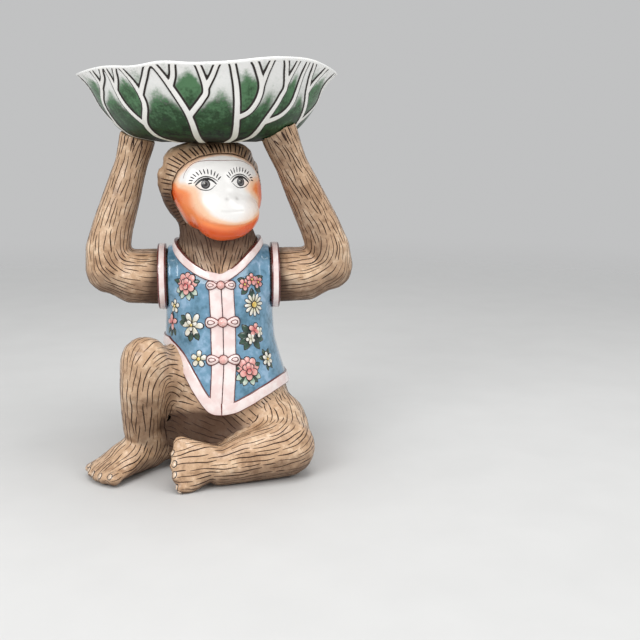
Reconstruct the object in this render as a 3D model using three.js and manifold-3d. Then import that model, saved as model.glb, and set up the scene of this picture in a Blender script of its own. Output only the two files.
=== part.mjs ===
// A seated ceramic monkey in a flowered vest that holds a leaf bowl on its head.
// Slip-cast hollow pieces are luted together; bands, loops and buttons are sprigged on.
// Millimetres, +Z up. The monkey faces -Y, and its own right side is at -X.
import * as THREE from 'three';
import { mergeVertices } from 'three/addons/utils/BufferGeometryUtils.js';
import Module from 'manifold-3d';

const wasm = await Module();
wasm.setup();

// Walls and seams
const WALL = 5.5; // thickness of a slip-cast wall
const SEAM = 0.3; // slip line between two luted pieces
const VENT_RADIUS = 9; // hole under the seat that lets the kiln gas out
const VENT_BACK = 14; // how far the vent lies behind the trunk's axis

// Trunk, as heights above the base and half-widths of its ovals
const SEAT_HALF_WIDTH = 48;
const HIP_HEIGHT = 42;
const HIP_HALF_WIDTH = 61;
const HIP_HALF_DEPTH = 56;
const WAIST_HEIGHT = 106;
const WAIST_HALF_WIDTH = 44.5;
const WAIST_HALF_DEPTH = 46;
const SHOULDER_HEIGHT = 159;
const SHOULDER_HALF_WIDTH = 42.5;
const SHOULDER_HALF_DEPTH = 40;
const NECK_HEIGHT = 190;
const NECK_HALF_WIDTH = 33;
const NECK_HALF_DEPTH = 30;
const NECK_SOCKET = 16; // length of neck inside the head

// Vest and its trim
const VEST_THICKNESS = 2.6;
const BAND_THICKNESS = 1.2;
const BAND_WIDTH = 7.5;
const HEM_BAND_WIDTH = 11;
const FRONT_BAND_WIDTH = 9;
const NECKLINE_DROP = 25; // from the neck's foot down to the point of the V
const HEM_POINT_HEIGHT = 52;
const HEM_SIDE_HEIGHT = 68;
const HEM_RAISED_HEIGHT = 100; // over the raised thigh
const ARMHOLE_BAND_THICKNESS = 3.6;

// Frog closures down the front
const FROG_TOP_DROP = 7; // top frog below the point of the V
const FROG_SPACING = 30;
const FROG_LOOP_LENGTH = 9.8;
const FROG_LOOP_HEIGHT = 9;
const FROG_THICKNESS = 1.8;
const FROG_BUTTON_RADIUS = 3.8;

// Head, turned and tilted as one
const HEAD_HALF_WIDTH = 42;
const HEAD_HALF_DEPTH = 43;
const HEAD_HALF_HEIGHT = 40;
const HEAD_RISE = 44; // head's centre above the neck's foot
const HEAD_FORWARD = 10;
const HEAD_ASIDE = -5.5;
const HEAD_TURN = 15; // degrees towards its own left
const HEAD_TILT = 4; // degrees, crown towards its own right
const EAR_RADIUS = 8;
const FACE_HALF_WIDTH = 37;
const FACE_TOP = 29;
const FACE_CHIN = 42;
const FACE_RISE = 1.2; // face proud of the fur
const NOSE_HALF_WIDTH = 8;
const MUZZLE_HALF_WIDTH = 30;
const MUZZLE_REACH = 11; // muzzle proud of the face

// Leaf bowl
const BOWL_SEAT_DEPTH = 1.5; // crown flattened under the bowl
const BOWL_FOOT_RADIUS = 42;
const BOWL_RIM_RADIUS = 104;
const BOWL_DEPTH = 55.5;
const BOWL_WALL = 5.5;
const BOWL_LOBES = 7;
const LOBE_DEPTH = 0.02; // share of the radius
const RIM_WAVE = 1; // up and down, lobe by lobe
const RIM_DROOP = 3; // how far the rim hangs at the two sides
const RIM_CREST = 5; // one lobe that stands higher than the rest
const CREST_TURN = -40; // degrees from the monkey's left towards its front

// Arms
const UPPER_ARM_RADIUS = 24;
const ELBOW_RADIUS = 21;
const FOREARM_RADIUS = 15.5;
const WRIST_RADIUS = 13.6;
const HAND_RADIUS = 16.5;
const ELBOW_RIGHT_OUT = 91;
const ELBOW_LEFT_OUT = 94;
const RIGHT_HAND = { out: 62, forward: 0 };
const LEFT_HAND = { out: 47, forward: 34 };
const HAND_RISE = 16; // end of the hand above the bowl's foot
const FINGER_RADIUS = 4.6;
const FINGERS = 4;

// Legs
const THIGH_RADIUS = 29;
const KNEE_RADIUS = 20.5;
const SHIN_RADIUS = 18;
const ANKLE_RADIUS = 15;
const FOLDED_KNEE_RADIUS = 25;
const FOOT_HALF_WIDTH = 24;
const SETTLE = 0.8; // flat worn into what lies on the base
const RIGHT_KNEE = { out: 61, forward: 50, height: 98 };
const RIGHT_ANKLE = { out: 67, forward: 42, height: 37 };
const RIGHT_HEEL = { out: 58, forward: 30, height: 13 };
const RIGHT_TOES = { out: 99, forward: 62, height: 6.3 };
const LEFT_KNEE = { out: 53, forward: 60 };
const LEFT_ANKLE = { out: -10, forward: 79, height: 19.5 };
const LEFT_TOES = { out: -34, forward: 88, height: 20 };
const TOE_RADIUS = 6;
const TOES = 5;

// Fineness of the facets
const TRUNK_SIDES = 22;
const LIMB_SIDES = 12;
const BOWL_SIDES = 42;

const UP = new THREE.Vector3(0, 0, 1);
const X_AXIS = new THREE.Vector3(1, 0, 0);
const Y_AXIS = new THREE.Vector3(0, 1, 0);
const FRONT = new THREE.Vector3(0, -1, 0);
const BEYOND = 200; // longer than any piece, for cutting tools
const { degToRad } = THREE.MathUtils;

// A closed geometry as a solid that can be joined and cut
function solid(geometry) {
  const bare = geometry.clone();
  for (const name of Object.keys(bare.attributes)) {
    if (name !== 'position') bare.deleteAttribute(name);
  }
  const merged = mergeVertices(bare, 1e-4);
  return new wasm.Manifold(new wasm.Mesh({
    numProp: 3,
    vertProperties: new Float32Array(merged.attributes.position.array),
    triVerts: new Uint32Array(merged.index.array),
  }));
}

// A solid back as geometry, flat shaded
function geometryOf(made) {
  const mesh = made.getMesh();
  const geometry = new THREE.BufferGeometry();
  geometry.setAttribute('position', new THREE.BufferAttribute(mesh.vertProperties, 3));
  geometry.setIndex(new THREE.BufferAttribute(mesh.triVerts, 1));
  const flat = geometry.toNonIndexed();
  flat.computeVertexNormals();
  return flat;
}

const join = (...solids) => solids.reduce((whole, next) => whole.add(next));

// Where copy k of count lies between 0 and 1, in the middle if there is only one
const spread = (k, count) => (count > 1 ? k / (count - 1) : 0.5);

// Closes rows of ring points into one skin with a pole at each end
function skin(rings, startPole, endPole) {
  const sides = rings[0].length;
  const points = [startPole, ...rings.flat(), endPole];
  const last = points.length - 1;
  const at = (ring, side) => 1 + ring * sides + (side % sides);
  const index = [];
  for (let side = 0; side < sides; side++) {
    index.push(0, at(0, side + 1), at(0, side));
    index.push(last, at(rings.length - 1, side), at(rings.length - 1, side + 1));
    for (let ring = 0; ring < rings.length - 1; ring++) {
      index.push(at(ring, side), at(ring, side + 1), at(ring + 1, side + 1));
      index.push(at(ring, side), at(ring + 1, side + 1), at(ring + 1, side));
    }
  }
  const geometry = new THREE.BufferGeometry().setFromPoints(points);
  geometry.setIndex(index);
  return geometry;
}

// The path through stations { at, wide, deep } and the half-sizes of its ovals along the way
function stationCurves(stations) {
  return {
    path: new THREE.CatmullRomCurve3(stations.map((s) => new THREE.Vector3(...s.at))),
    size: new THREE.CatmullRomCurve3(stations.map((s) => new THREE.Vector3(s.wide, s.deep, 0))),
  };
}

// A solid swept through stations: ovals square to the path, or to axis if one is given, wide along across.
// domes gives the height of the rounded cap at each end, 0 for a flat end.
function loft(stations, across, options = {}) {
  const { grow = 0, sides = LIMB_SIDES, steps = 2, domes = [0, 0], axis = null } = options;
  const { path, size } = stationCurves(stations);
  const domeSteps = 3;
  const ringAt = (t, scale, lift) => {
    const tangent = axis ?? path.getTangent(t);
    const side = across.clone().addScaledVector(tangent, -across.dot(tangent)).normalize();
    const other = tangent.clone().cross(side);
    const centre = path.getPoint(t).addScaledVector(tangent, lift);
    const oval = size.getPoint(t);
    return Array.from({ length: sides }, (_, k) => {
      const angle = (2 * Math.PI * k) / sides;
      return centre.clone()
        .addScaledVector(side, (oval.x + grow) * scale * Math.cos(angle))
        .addScaledVector(other, (oval.y + grow) * scale * Math.sin(angle));
    });
  };
  const domeRings = (t, height, sign) => {
    const count = height > 0 ? domeSteps - 1 : 0;
    return Array.from({ length: count }, (_, k) => {
      const angle = ((k + 1) / domeSteps) * (Math.PI / 2);
      return ringAt(t, Math.cos(angle), sign * (height + grow) * Math.sin(angle));
    });
  };
  const pole = (t, height, sign) => path.getPoint(t)
    .addScaledVector(path.getTangent(t), height > 0 ? sign * (height + grow) : 0);
  const count = (stations.length - 1) * steps;
  const body = Array.from({ length: count + 1 }, (_, k) => ringAt(k / count, 1, 0));
  const rings = [...domeRings(0, domes[0], -1).reverse(), ...body, ...domeRings(1, domes[1], 1)];
  return solid(skin(rings, pole(0, domes[0], -1), pole(1, domes[1], 1)));
}

// An egg of three half-sizes
function egg(at, half, { wide = 20, high = 14 } = {}) {
  const geometry = new THREE.SphereGeometry(1, wide, high);
  return solid(geometry.scale(...half).translate(...at));
}

// A prism of an outline drawn in X and Z, from fromY to toY
function prism(shape, fromY, toY) {
  const options = { depth: toY - fromY, bevelEnabled: false, curveSegments: 5 };
  const geometry = new THREE.ExtrudeGeometry(shape, options);
  return solid(geometry.rotateX(Math.PI / 2).translate(0, toY, 0));
}

// An outline in X and Z through points
function outline(points) {
  return new THREE.Shape(points.map(([x, z]) => new THREE.Vector2(x, z)));
}

function block(low, high) {
  const size = high.map((h, k) => h - low[k]);
  const geometry = new THREE.BoxGeometry(...size);
  return solid(geometry.translate(...low.map((l, k) => l + size[k] / 2)));
}

const aboveBase = block([-BEYOND, -BEYOND, 0], [BEYOND, BEYOND, 3 * BEYOND]);

// Trunk: seat, hips, waist, shoulders and neck as one upright loft
const mean = (a, b) => (a + b) / 2;
const neckTop = [HEAD_ASIDE / 2, -HEAD_FORWARD / 2, NECK_HEIGHT + NECK_SOCKET];
const neckTopHalf = { wide: NECK_HALF_WIDTH - 3, deep: NECK_HALF_DEPTH - 2 };
const trunkStations = [
  { at: [0, 2, 0], wide: SEAT_HALF_WIDTH, deep: HIP_HALF_DEPTH - 12 },
  { at: [0, 0, HIP_HEIGHT * 0.33], wide: HIP_HALF_WIDTH - 2, deep: HIP_HALF_DEPTH - 3 },
  { at: [0, -1, HIP_HEIGHT], wide: HIP_HALF_WIDTH, deep: HIP_HALF_DEPTH },
  {
    at: [0, -3, mean(HIP_HEIGHT, WAIST_HEIGHT)],
    wide: mean(HIP_HALF_WIDTH, WAIST_HALF_WIDTH) + 1,
    deep: mean(HIP_HALF_DEPTH, WAIST_HALF_DEPTH) + 2,
  },
  { at: [0, -2, WAIST_HEIGHT], wide: WAIST_HALF_WIDTH, deep: WAIST_HALF_DEPTH },
  {
    at: [0, -1, mean(WAIST_HEIGHT, SHOULDER_HEIGHT)],
    wide: mean(WAIST_HALF_WIDTH, SHOULDER_HALF_WIDTH) - 0.5,
    deep: mean(WAIST_HALF_DEPTH, SHOULDER_HALF_DEPTH),
  },
  { at: [0, 0, SHOULDER_HEIGHT], wide: SHOULDER_HALF_WIDTH, deep: SHOULDER_HALF_DEPTH },
  {
    at: [0, 0, mean(SHOULDER_HEIGHT, NECK_HEIGHT) + 3],
    wide: SHOULDER_HALF_WIDTH - 4,
    deep: SHOULDER_HALF_DEPTH - 6,
  },
  { at: [0, -2, NECK_HEIGHT], wide: NECK_HALF_WIDTH, deep: NECK_HALF_DEPTH },
  { at: neckTop, ...neckTopHalf },
];
function trunkForm(grow, sides = TRUNK_SIDES, steps = 2) {
  return loft(trunkStations, X_AXIS, { grow, sides, steps, axis: UP });
}

// The trunk's front surface at a height, as its distance in front of the axis
function trunkFront(height) {
  const { path, size } = stationCurves(trunkStations);
  const samples = Array.from({ length: 201 }, (_, k) => k / 200);
  const t = samples.find((share) => path.getPoint(share).z >= height);
  return size.getPoint(t).y - path.getPoint(t).y;
}

// A layer of the given depth lying on the trunk, from one height above its skin to another
const trunkLayer = (from, to) => trunkForm(to).subtract(trunkForm(from));

function makeTrunk() {
  const aboveFloor = block([-BEYOND, -BEYOND, WALL], [BEYOND, BEYOND, 3 * BEYOND]);
  const cavity = trunkForm(-WALL, Math.round(TRUNK_SIDES / 2), 1).intersect(aboveFloor);
  const mouthHalf = [neckTopHalf.wide - WALL, neckTopHalf.deep - WALL, 2 * WALL];
  const mouth = egg(neckTop, mouthHalf, { wide: 12, high: 6 });
  const drill = new THREE.CylinderGeometry(VENT_RADIUS, VENT_RADIUS, 4 * WALL, 16);
  const vent = solid(drill.rotateX(Math.PI / 2).translate(0, VENT_BACK, 0));
  return trunkForm(0).subtract(cavity).subtract(mouth).subtract(vent);
}

// Neckline seen from the front, let out by margin
function neckline(margin, drop) {
  const top = NECK_HEIGHT + NECK_SOCKET + 2;
  const foot = NECK_HEIGHT - drop;
  const half = [
    [NECK_HALF_WIDTH + 3, top],
    [NECK_HALF_WIDTH + 1, NECK_HEIGHT],
    [NECK_HALF_WIDTH - 5, NECK_HEIGHT - 0.45 * drop],
    [NECK_HALF_WIDTH * 0.4, NECK_HEIGHT - 0.87 * drop],
    [0, foot],
  ];
  const letOut = half.map(([x, z], k) => [x === 0 ? 0 : x + margin * (1 - k / 6), z - (margin * k) / 4]);
  return outline([...letOut, ...letOut.slice(0, -1).reverse().map(([x, z]) => [-x, z])]);
}

// Vest from the front between its neckline and its hem, with the hem let out by margin
function vestFront(margin) {
  const top = NECK_HEIGHT;
  const side = HIP_HALF_WIDTH + 20;
  const tip = HEM_POINT_HEIGHT - margin;
  return outline([
    [-side, top], [-side, HEM_RAISED_HEIGHT - margin],
    [-WAIST_HALF_WIDTH, HEM_RAISED_HEIGHT - margin],
    [-WAIST_HALF_WIDTH * 0.68 - margin * 0.6, mean(HEM_RAISED_HEIGHT, HEM_SIDE_HEIGHT) + 5 - margin * 0.6],
    [-FRONT_BAND_WIDTH * 1.6 - margin * 0.6, tip + 7],
    [-FRONT_BAND_WIDTH * 0.9, tip], [0, tip + 1.5], [FRONT_BAND_WIDTH * 0.9, tip],
    [FRONT_BAND_WIDTH * 2, tip + 6],
    [WAIST_HALF_WIDTH, HEM_SIDE_HEIGHT - 1.5 - margin], [side, HEM_SIDE_HEIGHT - margin], [side, top],
  ].reverse());
}

function vestBack(margin) {
  const top = NECK_HEIGHT;
  const side = HIP_HALF_WIDTH + 20;
  return outline([
    [-side, top], [-side, HEM_RAISED_HEIGHT - margin], [-WAIST_HALF_WIDTH, HEM_RAISED_HEIGHT - 4 - margin],
    [-WAIST_HALF_WIDTH * 0.5, HEM_SIDE_HEIGHT + 8 - margin], [0, HEM_SIDE_HEIGHT - margin],
    [side, HEM_SIDE_HEIGHT - margin], [side, top],
  ].reverse());
}

const SIDE_LAP = 0.5; // front and back overlap at the side seams
const frontPrism = (shape) => prism(shape, -BEYOND, SIDE_LAP);
const backPrism = (shape) => prism(shape, -SIDE_LAP, BEYOND);
const vestArea = (margin) => join(frontPrism(vestFront(margin)), backPrism(vestBack(margin)));
function neckArea(margin) {
  const front = frontPrism(neckline(margin, NECKLINE_DROP));
  const back = backPrism(neckline(margin, NECKLINE_DROP * 0.3));
  return join(front, back);
}

// Levels of the layers on the trunk's skin
const vestTop = SEAM + VEST_THICKNESS;
const bandTop = vestTop + SEAM + BAND_THICKNESS;
const frogTop = bandTop + SEAM + FROG_THICKNESS;

// What the vest and its bands take up, let out by a seam, for cutting the limbs
const vestRoom = trunkForm(bandTop + SEAM).intersect(vestArea(SEAM)).subtract(neckArea(0));

// Bowl: a leaf turned on its axis, then ruffled towards the rim
const headCentre = new THREE.Vector3(HEAD_ASIDE, -HEAD_FORWARD, NECK_HEIGHT + HEAD_RISE);
const bowlBase = headCentre.z + HEAD_HALF_HEIGHT - BOWL_SEAT_DEPTH;

// The side of the leaf from its foot to its rim, as shares of its flare and its depth
const LEAF_SIDE = [
  [0, 0], [0.33, 0.07], [0.49, 0.16], [0.62, 0.31], [0.74, 0.51], [0.82, 0.71], [0.9, 0.87], [1, 1],
];

function bowlProfile(offset, count) {
  const flare = BOWL_RIM_RADIUS - BOWL_FOOT_RADIUS;
  const place = ([out, up]) => new THREE.Vector2(BOWL_FOOT_RADIUS + out * flare, up * BOWL_DEPTH);
  const curve = new THREE.SplineCurve(LEAF_SIDE.map(place));
  return Array.from({ length: count + 1 }, (_, k) => {
    const tangent = curve.getTangent(k / count);
    return curve.getPoint(k / count).add(new THREE.Vector2(tangent.y, -tangent.x).multiplyScalar(offset));
  });
}

function ruffle(geometry) {
  const place = geometry.getAttribute('position');
  const point = new THREE.Vector3();
  for (let k = 0; k < place.count; k++) {
    point.fromBufferAttribute(place, k);
    const share = Math.max(0, point.z / BOWL_DEPTH);
    const turn = Math.atan2(point.y, point.x);
    const lobe = BOWL_LOBES * turn - 1.5;
    const crest = Math.max(0, Math.cos(turn - degToRad(CREST_TURN))) ** 12;
    const swell = 1 - LOBE_DEPTH * share * share * Math.cos(lobe);
    const rim = RIM_WAVE * Math.cos(lobe) - RIM_DROOP * Math.cos(turn) ** 4 + RIM_CREST * crest;
    place.setXYZ(k, point.x * swell, point.y * swell, point.z + share ** 3 * rim);
  }
  return geometry.translate(HEAD_ASIDE, 0, bowlBase);
}

function bowlTurned(points) {
  return solid(ruffle(new THREE.LatheGeometry(points, BOWL_SIDES).rotateX(Math.PI / 2)));
}

function makeBowl() {
  const outer = bowlProfile(0, 9);
  const inner = bowlProfile(-BOWL_WALL, 6).reverse();
  const lip = outer.at(-1).clone().lerp(inner[0], 0.5);
  lip.y += BOWL_WALL * 0.35;
  return bowlTurned([new THREE.Vector2(0, 0), ...outer, lip, ...inner, new THREE.Vector2(0, BOWL_WALL)]);
}

// The bowl with its hollow filled, grown by a seam, for cutting what carries it
function makeBowlRoom() {
  const outer = bowlProfile(SEAM, 9);
  return bowlTurned([new THREE.Vector2(0, -SEAM), ...outer, new THREE.Vector2(0, outer.at(-1).y)]);
}

const bowlRoom = makeBowlRoom();
const trunkRoom = trunkForm(SEAM);

// A round station of a limb
const round = (at, radius) => ({ at, wide: radius, deep: radius });

// The point at a share of the way from one point to another, moved by a bulge
function between(from, to, share, bulge = [0, 0, 0]) {
  return from.map((v, k) => v + (to[k] - v) * share + bulge[k]);
}

// An arm: upper arm out to the elbow, forearm up to the bowl, which cuts the hand off
function armStations(sign, elbowOut, hand) {
  const root = [sign * (SHOULDER_HALF_WIDTH - 17), 0, SHOULDER_HEIGHT];
  const cuff = [sign * (SHOULDER_HALF_WIDTH + 6), 0, SHOULDER_HEIGHT];
  const elbow = [sign * elbowOut, -3, SHOULDER_HEIGHT + 6.5];
  const palm = [sign * hand.out, -hand.forward, bowlBase + HAND_RISE];
  const along = (share, bulge) => between(elbow, palm, share, [sign * bulge, 0, 0]);
  return {
    upper: [
      round(root, UPPER_ARM_RADIUS),
      round(cuff, UPPER_ARM_RADIUS),
      round(between(cuff, elbow, 0.6, [0, 0, -3]), UPPER_ARM_RADIUS - 0.5),
      round(between(cuff, elbow, 0.93, [0, 0, -1]), ELBOW_RADIUS - 2),
    ],
    fore: [
      round(elbow, ELBOW_RADIUS),
      round(along(0.15, 5.5), mean(ELBOW_RADIUS, FOREARM_RADIUS) + 0.6),
      round(along(0.31, 5), FOREARM_RADIUS + 1.6),
      round(along(0.52, 2.5), FOREARM_RADIUS),
      round(along(0.72, 0.5), WRIST_RADIUS),
      round(along(0.86, -0.5), mean(WRIST_RADIUS, HAND_RADIUS)),
      round(palm, HAND_RADIUS),
    ],
  };
}

// Finger tips round the front of the hand, from the knuckles up to the bowl
function makeFinger(wrist, palm, k) {
  const angle = Math.PI * (0.14 + 0.72 * spread(k, FINGERS));
  const reach = HAND_RADIUS - FINGER_RADIUS + 1.2;
  const offset = [reach * Math.cos(angle), -reach * Math.sin(angle), 0];
  const knuckle = wrist.map((v, axis) => v + 0.86 * offset[axis]);
  const tip = palm.map((v, axis) => v + offset[axis]);
  const stations = [round(knuckle, FINGER_RADIUS), round(tip, FINGER_RADIUS)];
  return loft(stations, FRONT, { sides: 7, steps: 1, domes: [FINGER_RADIUS, FINGER_RADIUS / 2] });
}

function makeArm(sign, elbowOut, hand) {
  const { upper, fore } = armStations(sign, elbowOut, hand);
  const elbowDome = ELBOW_RADIUS * 0.95;
  const upperDomes = [0, ELBOW_RADIUS * 0.6];
  const flesh = join(
    loft(upper, Y_AXIS, { steps: 1, domes: upperDomes }),
    loft(fore, Y_AXIS, { steps: 1, domes: [elbowDome, FINGER_RADIUS] }),
  );
  const numbers = Array.from({ length: FINGERS }, (_, k) => k);
  const fingers = numbers.map((k) => makeFinger(fore.at(-2).at, fore.at(-1).at, k));
  const inside = { grow: -WALL, sides: 8, steps: 1 };
  const hollow = join(
    loft(upper, Y_AXIS, { ...inside, domes: upperDomes }),
    loft(fore.slice(0, 5), Y_AXIS, { ...inside, domes: [elbowDome, WRIST_RADIUS] }),
  );
  return join(flesh, ...fingers).subtract(hollow).subtract(trunkRoom).subtract(bowlRoom);
}

// Room for an upper arm where it passes through the vest
function upperArmRoom(sign, elbowOut, hand) {
  const { upper } = armStations(sign, elbowOut, hand);
  return loft(upper, Y_AXIS, { grow: SEAM, steps: 1, domes: [0, ELBOW_RADIUS] });
}

const armRoom = join(
  upperArmRoom(-1, ELBOW_RIGHT_OUT, RIGHT_HAND),
  upperArmRoom(1, ELBOW_LEFT_OUT, LEFT_HAND),
);

// A drum round the shoulder, from one distance off the trunk's axis to another
function shoulderDrum(sign, radius, from, to) {
  const drum = new THREE.CylinderGeometry(radius, radius, to - from, TRUNK_SIDES);
  drum.translate(0, mean(from, to), 0).rotateZ(-sign * Math.PI / 2);
  return solid(drum.translate(0, 0, SHOULDER_HEIGHT));
}

const capRadius = UPPER_ARM_RADIUS + SEAM + VEST_THICKNESS;
const capEnd = SHOULDER_HALF_WIDTH + 0.8;

// The vest lies on the trunk and runs out over each shoulder as a short cap
function makeVest() {
  const caps = [-1, 1].map((sign) => shoulderDrum(sign, capRadius, capEnd / 3, capEnd));
  const cloth = join(trunkForm(vestTop), ...caps).subtract(trunkRoom);
  return cloth.intersect(vestArea(0)).subtract(neckArea(0)).subtract(armRoom);
}

const bandLayer = trunkLayer(vestTop + SEAM, bandTop);

function makeNeckBand() {
  const capRooms = [-1, 1].map((sign) => shoulderDrum(sign, capRadius + SEAM, 0, BEYOND));
  const collar = neckArea(BAND_WIDTH).subtract(neckArea(0));
  return bandLayer.intersect(collar).intersect(vestArea(0)).subtract(join(...capRooms));
}

function makeHemBand() {
  return bandLayer.intersect(vestArea(0)).subtract(vestArea(-HEM_BAND_WIDTH)).subtract(neckArea(BAND_WIDTH));
}

function makeFrontBand(sign) {
  const edges = [sign * SEAM / 2, sign * FRONT_BAND_WIDTH].sort((a, b) => a - b);
  const strip = block([edges[0], -BEYOND, 0], [edges[1], 0, 2 * BEYOND]);
  const room = vestArea(-HEM_BAND_WIDTH - SEAM).subtract(neckArea(BAND_WIDTH + SEAM));
  return bandLayer.intersect(strip).intersect(room);
}

// A rounded ring round the arm at the end of the vest's shoulder cap
function makeArmholeBand(sign) {
  const inner = UPPER_ARM_RADIUS + SEAM;
  const outer = inner + ARMHOLE_BAND_THICKNESS;
  const from = capEnd + SEAM;
  const to = from + BAND_WIDTH;
  const corners = [
    [inner, from], [outer, from], [outer, to - 1], [outer - 1, to], [inner + 0.6, to], [inner, to - 0.8],
  ];
  const section = corners.map(([radius, along]) => new THREE.Vector2(radius, along));
  const ring = new THREE.LatheGeometry([...section, section[0]], TRUNK_SIDES).rotateZ(-sign * Math.PI / 2);
  return solid(ring.translate(0, 0, SHOULDER_HEIGHT)).subtract(trunkForm(vestTop + SEAM)).subtract(armRoom);
}

// A flat teardrop loop with an eye, on the bands beside its button
function frogLoop(sign, height) {
  const drop = (from, to, half) => {
    const shape = new THREE.Shape();
    const [near, far] = [sign * from, sign * to];
    const shoulder = near + (far - near) * 0.3;
    shape.moveTo(near, height);
    shape.bezierCurveTo(shoulder, height + half * 1.5, far, height + half * 1.3, far, height);
    shape.bezierCurveTo(far, height - half * 1.3, shoulder, height - half * 1.5, near, height);
    return prism(shape, -BEYOND, 0);
  };
  const start = FROG_BUTTON_RADIUS + SEAM;
  const rim = FROG_LOOP_LENGTH * 0.36;
  const whole = drop(start, start + FROG_LOOP_LENGTH, FROG_LOOP_HEIGHT / 2);
  const eye = drop(start + rim, start + FROG_LOOP_LENGTH - rim * 0.7, FROG_LOOP_HEIGHT / 2 - rim * 0.8);
  return trunkLayer(bandTop + SEAM, frogTop).intersect(whole).subtract(eye);
}

function frogButton(height) {
  const front = trunkFront(height) + bandTop;
  const half = [FROG_BUTTON_RADIUS, FROG_BUTTON_RADIUS, FROG_BUTTON_RADIUS];
  return egg([0, -front, height], half, { wide: 10, high: 6 }).subtract(trunkForm(bandTop + SEAM));
}

// Head: fur hood and inset face, drawn about the head's centre with the face to the front
const headTurn = new THREE.Euler(0, degToRad(-HEAD_TILT), degToRad(HEAD_TURN), 'ZXY');
const headFrame = new THREE.Matrix4().makeRotationFromEuler(headTurn).setPosition(headCentre);
const toHead = headFrame.clone().invert();
const inHead = (made) => solid(geometryOf(made).applyMatrix4(toHead));

function headForm(grow, wide = 24, high = 16) {
  const half = [HEAD_HALF_WIDTH, HEAD_HALF_DEPTH, HEAD_HALF_HEIGHT].map((size) => size + grow);
  return egg([0, 0, 0], half, { wide, high });
}

function faceArea(margin) {
  const half = FACE_HALF_WIDTH + margin;
  const top = FACE_TOP + margin;
  const chin = -FACE_CHIN - margin;
  const shape = new THREE.Shape();
  shape.moveTo(0, chin);
  shape.bezierCurveTo(half * 0.7, chin, half * 1.06, chin * 0.66, half, -2);
  shape.bezierCurveTo(half * 0.97, top * 0.6, half * 0.66, top, 0, top);
  shape.bezierCurveTo(-half * 0.66, top, -half * 0.97, top * 0.6, -half, -2);
  shape.bezierCurveTo(-half * 1.06, chin * 0.66, -half * 0.7, chin, 0, chin);
  return prism(shape, -BEYOND, 0);
}

const neckRoom = inHead(trunkRoom);
const crownRoom = inHead(bowlRoom);
const headHollow = headForm(-WALL, 12, 8);

function makeHood() {
  const earHalf = [EAR_RADIUS, EAR_RADIUS * 1.2, EAR_RADIUS * 1.7];
  const earOut = HEAD_HALF_WIDTH - EAR_RADIUS * 0.8;
  const ears = [-1, 1].map((sign) => egg([sign * earOut, 3, 7], earHalf, { wide: 10, high: 6 }));
  const fur = join(headForm(0), ...ears).subtract(headHollow);
  return fur.subtract(faceArea(SEAM)).subtract(neckRoom).subtract(crownRoom);
}

function makeFace() {
  const muzzleHeight = -FACE_CHIN * 0.46;
  const muzzleFront = HEAD_HALF_DEPTH + MUZZLE_REACH - 3;
  const muzzleHalf = [MUZZLE_HALF_WIDTH, HEAD_HALF_DEPTH * 0.5, FACE_CHIN * 0.54];
  const muzzle = egg([0, muzzleHalf[1] - muzzleFront, muzzleHeight], muzzleHalf, { wide: 18, high: 12 });
  const noseHalf = [NOSE_HALF_WIDTH, NOSE_HALF_WIDTH * 0.56, NOSE_HALF_WIDTH * 0.56];
  const nose = egg([0, 5 - muzzleFront, muzzleHeight * 0.34], noseHalf, { wide: 12, high: 8 });
  const flesh = join(headForm(FACE_RISE), muzzle, nose).subtract(headHollow);
  return flesh.intersect(faceArea(0)).subtract(neckRoom).subtract(crownRoom);
}

// A foot and its toes, from the ankle or heel to the toe tips; across runs from the small toe to the big one
function footForm(stations, across) {
  const domes = [stations[0].deep * 0.7, stations.at(-1).deep * 0.6];
  const sole = loft(stations, across, { domes });
  const tip = new THREE.Vector3(...stations.at(-1).at);
  const ahead = tip.clone().sub(new THREE.Vector3(...stations.at(-2).at)).normalize();
  const toes = Array.from({ length: TOES }, (_, k) => {
    const share = 2 * spread(k, TOES) - 1;
    const radius = TOE_RADIUS * (1 + 0.16 * share);
    const at = tip.clone();
    at.addScaledVector(across, share * (FOOT_HALF_WIDTH - TOE_RADIUS));
    at.addScaledVector(ahead, 3 - 4 * share * share);
    return egg(at.toArray(), [radius, radius, radius * 0.95], { wide: 7, high: 6 });
  });
  return join(sole, ...toes);
}

// Right leg: knee raised, foot flat on the base and turned out
function makeRightLeg() {
  const hip = [-HIP_HALF_WIDTH * 0.41, 4, HIP_HEIGHT + 2];
  const knee = [-RIGHT_KNEE.out, -RIGHT_KNEE.forward, RIGHT_KNEE.height];
  const ankle = [-RIGHT_ANKLE.out, -RIGHT_ANKLE.forward, RIGHT_ANKLE.height];
  const heel = [-RIGHT_HEEL.out, -RIGHT_HEEL.forward, RIGHT_HEEL.height];
  const toes = [-RIGHT_TOES.out, -RIGHT_TOES.forward, RIGHT_TOES.height];
  const thigh = [
    round(hip, THIGH_RADIUS),
    round(between(hip, knee, 0.5), THIGH_RADIUS - 2),
    round(between(hip, knee, 0.96), KNEE_RADIUS - 2),
  ];
  const shin = [
    round(knee, KNEE_RADIUS),
    round(between(knee, ankle, 0.4, [0, -4, 0]), KNEE_RADIUS - 1),
    round(between(knee, ankle, 0.72, [0, -2, 0]), SHIN_RADIUS - 0.5),
    round(ankle, ANKLE_RADIUS),
    round(between(ankle, heel, 0.7), ANKLE_RADIUS),
  ];
  const foot = [
    { at: heel, wide: ANKLE_RADIUS - 1, deep: heel[2] },
    { at: between(heel, toes, 0.38, [0, 0, 5]), wide: ANKLE_RADIUS + 2, deep: heel[2] + 3 },
    { at: between(heel, toes, 0.76, [0, 0, 1.5]), wide: FOOT_HALF_WIDTH - 2, deep: toes[2] + 3 },
    { at: toes, wide: FOOT_HALF_WIDTH, deep: toes[2] },
  ];
  const ahead = new THREE.Vector3(toes[0] - heel[0], toes[1] - heel[1], 0).normalize();
  return makeLeg(thigh, shin, foot, ahead.cross(UP).negate(), KNEE_RADIUS, X_AXIS);
}

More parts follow.
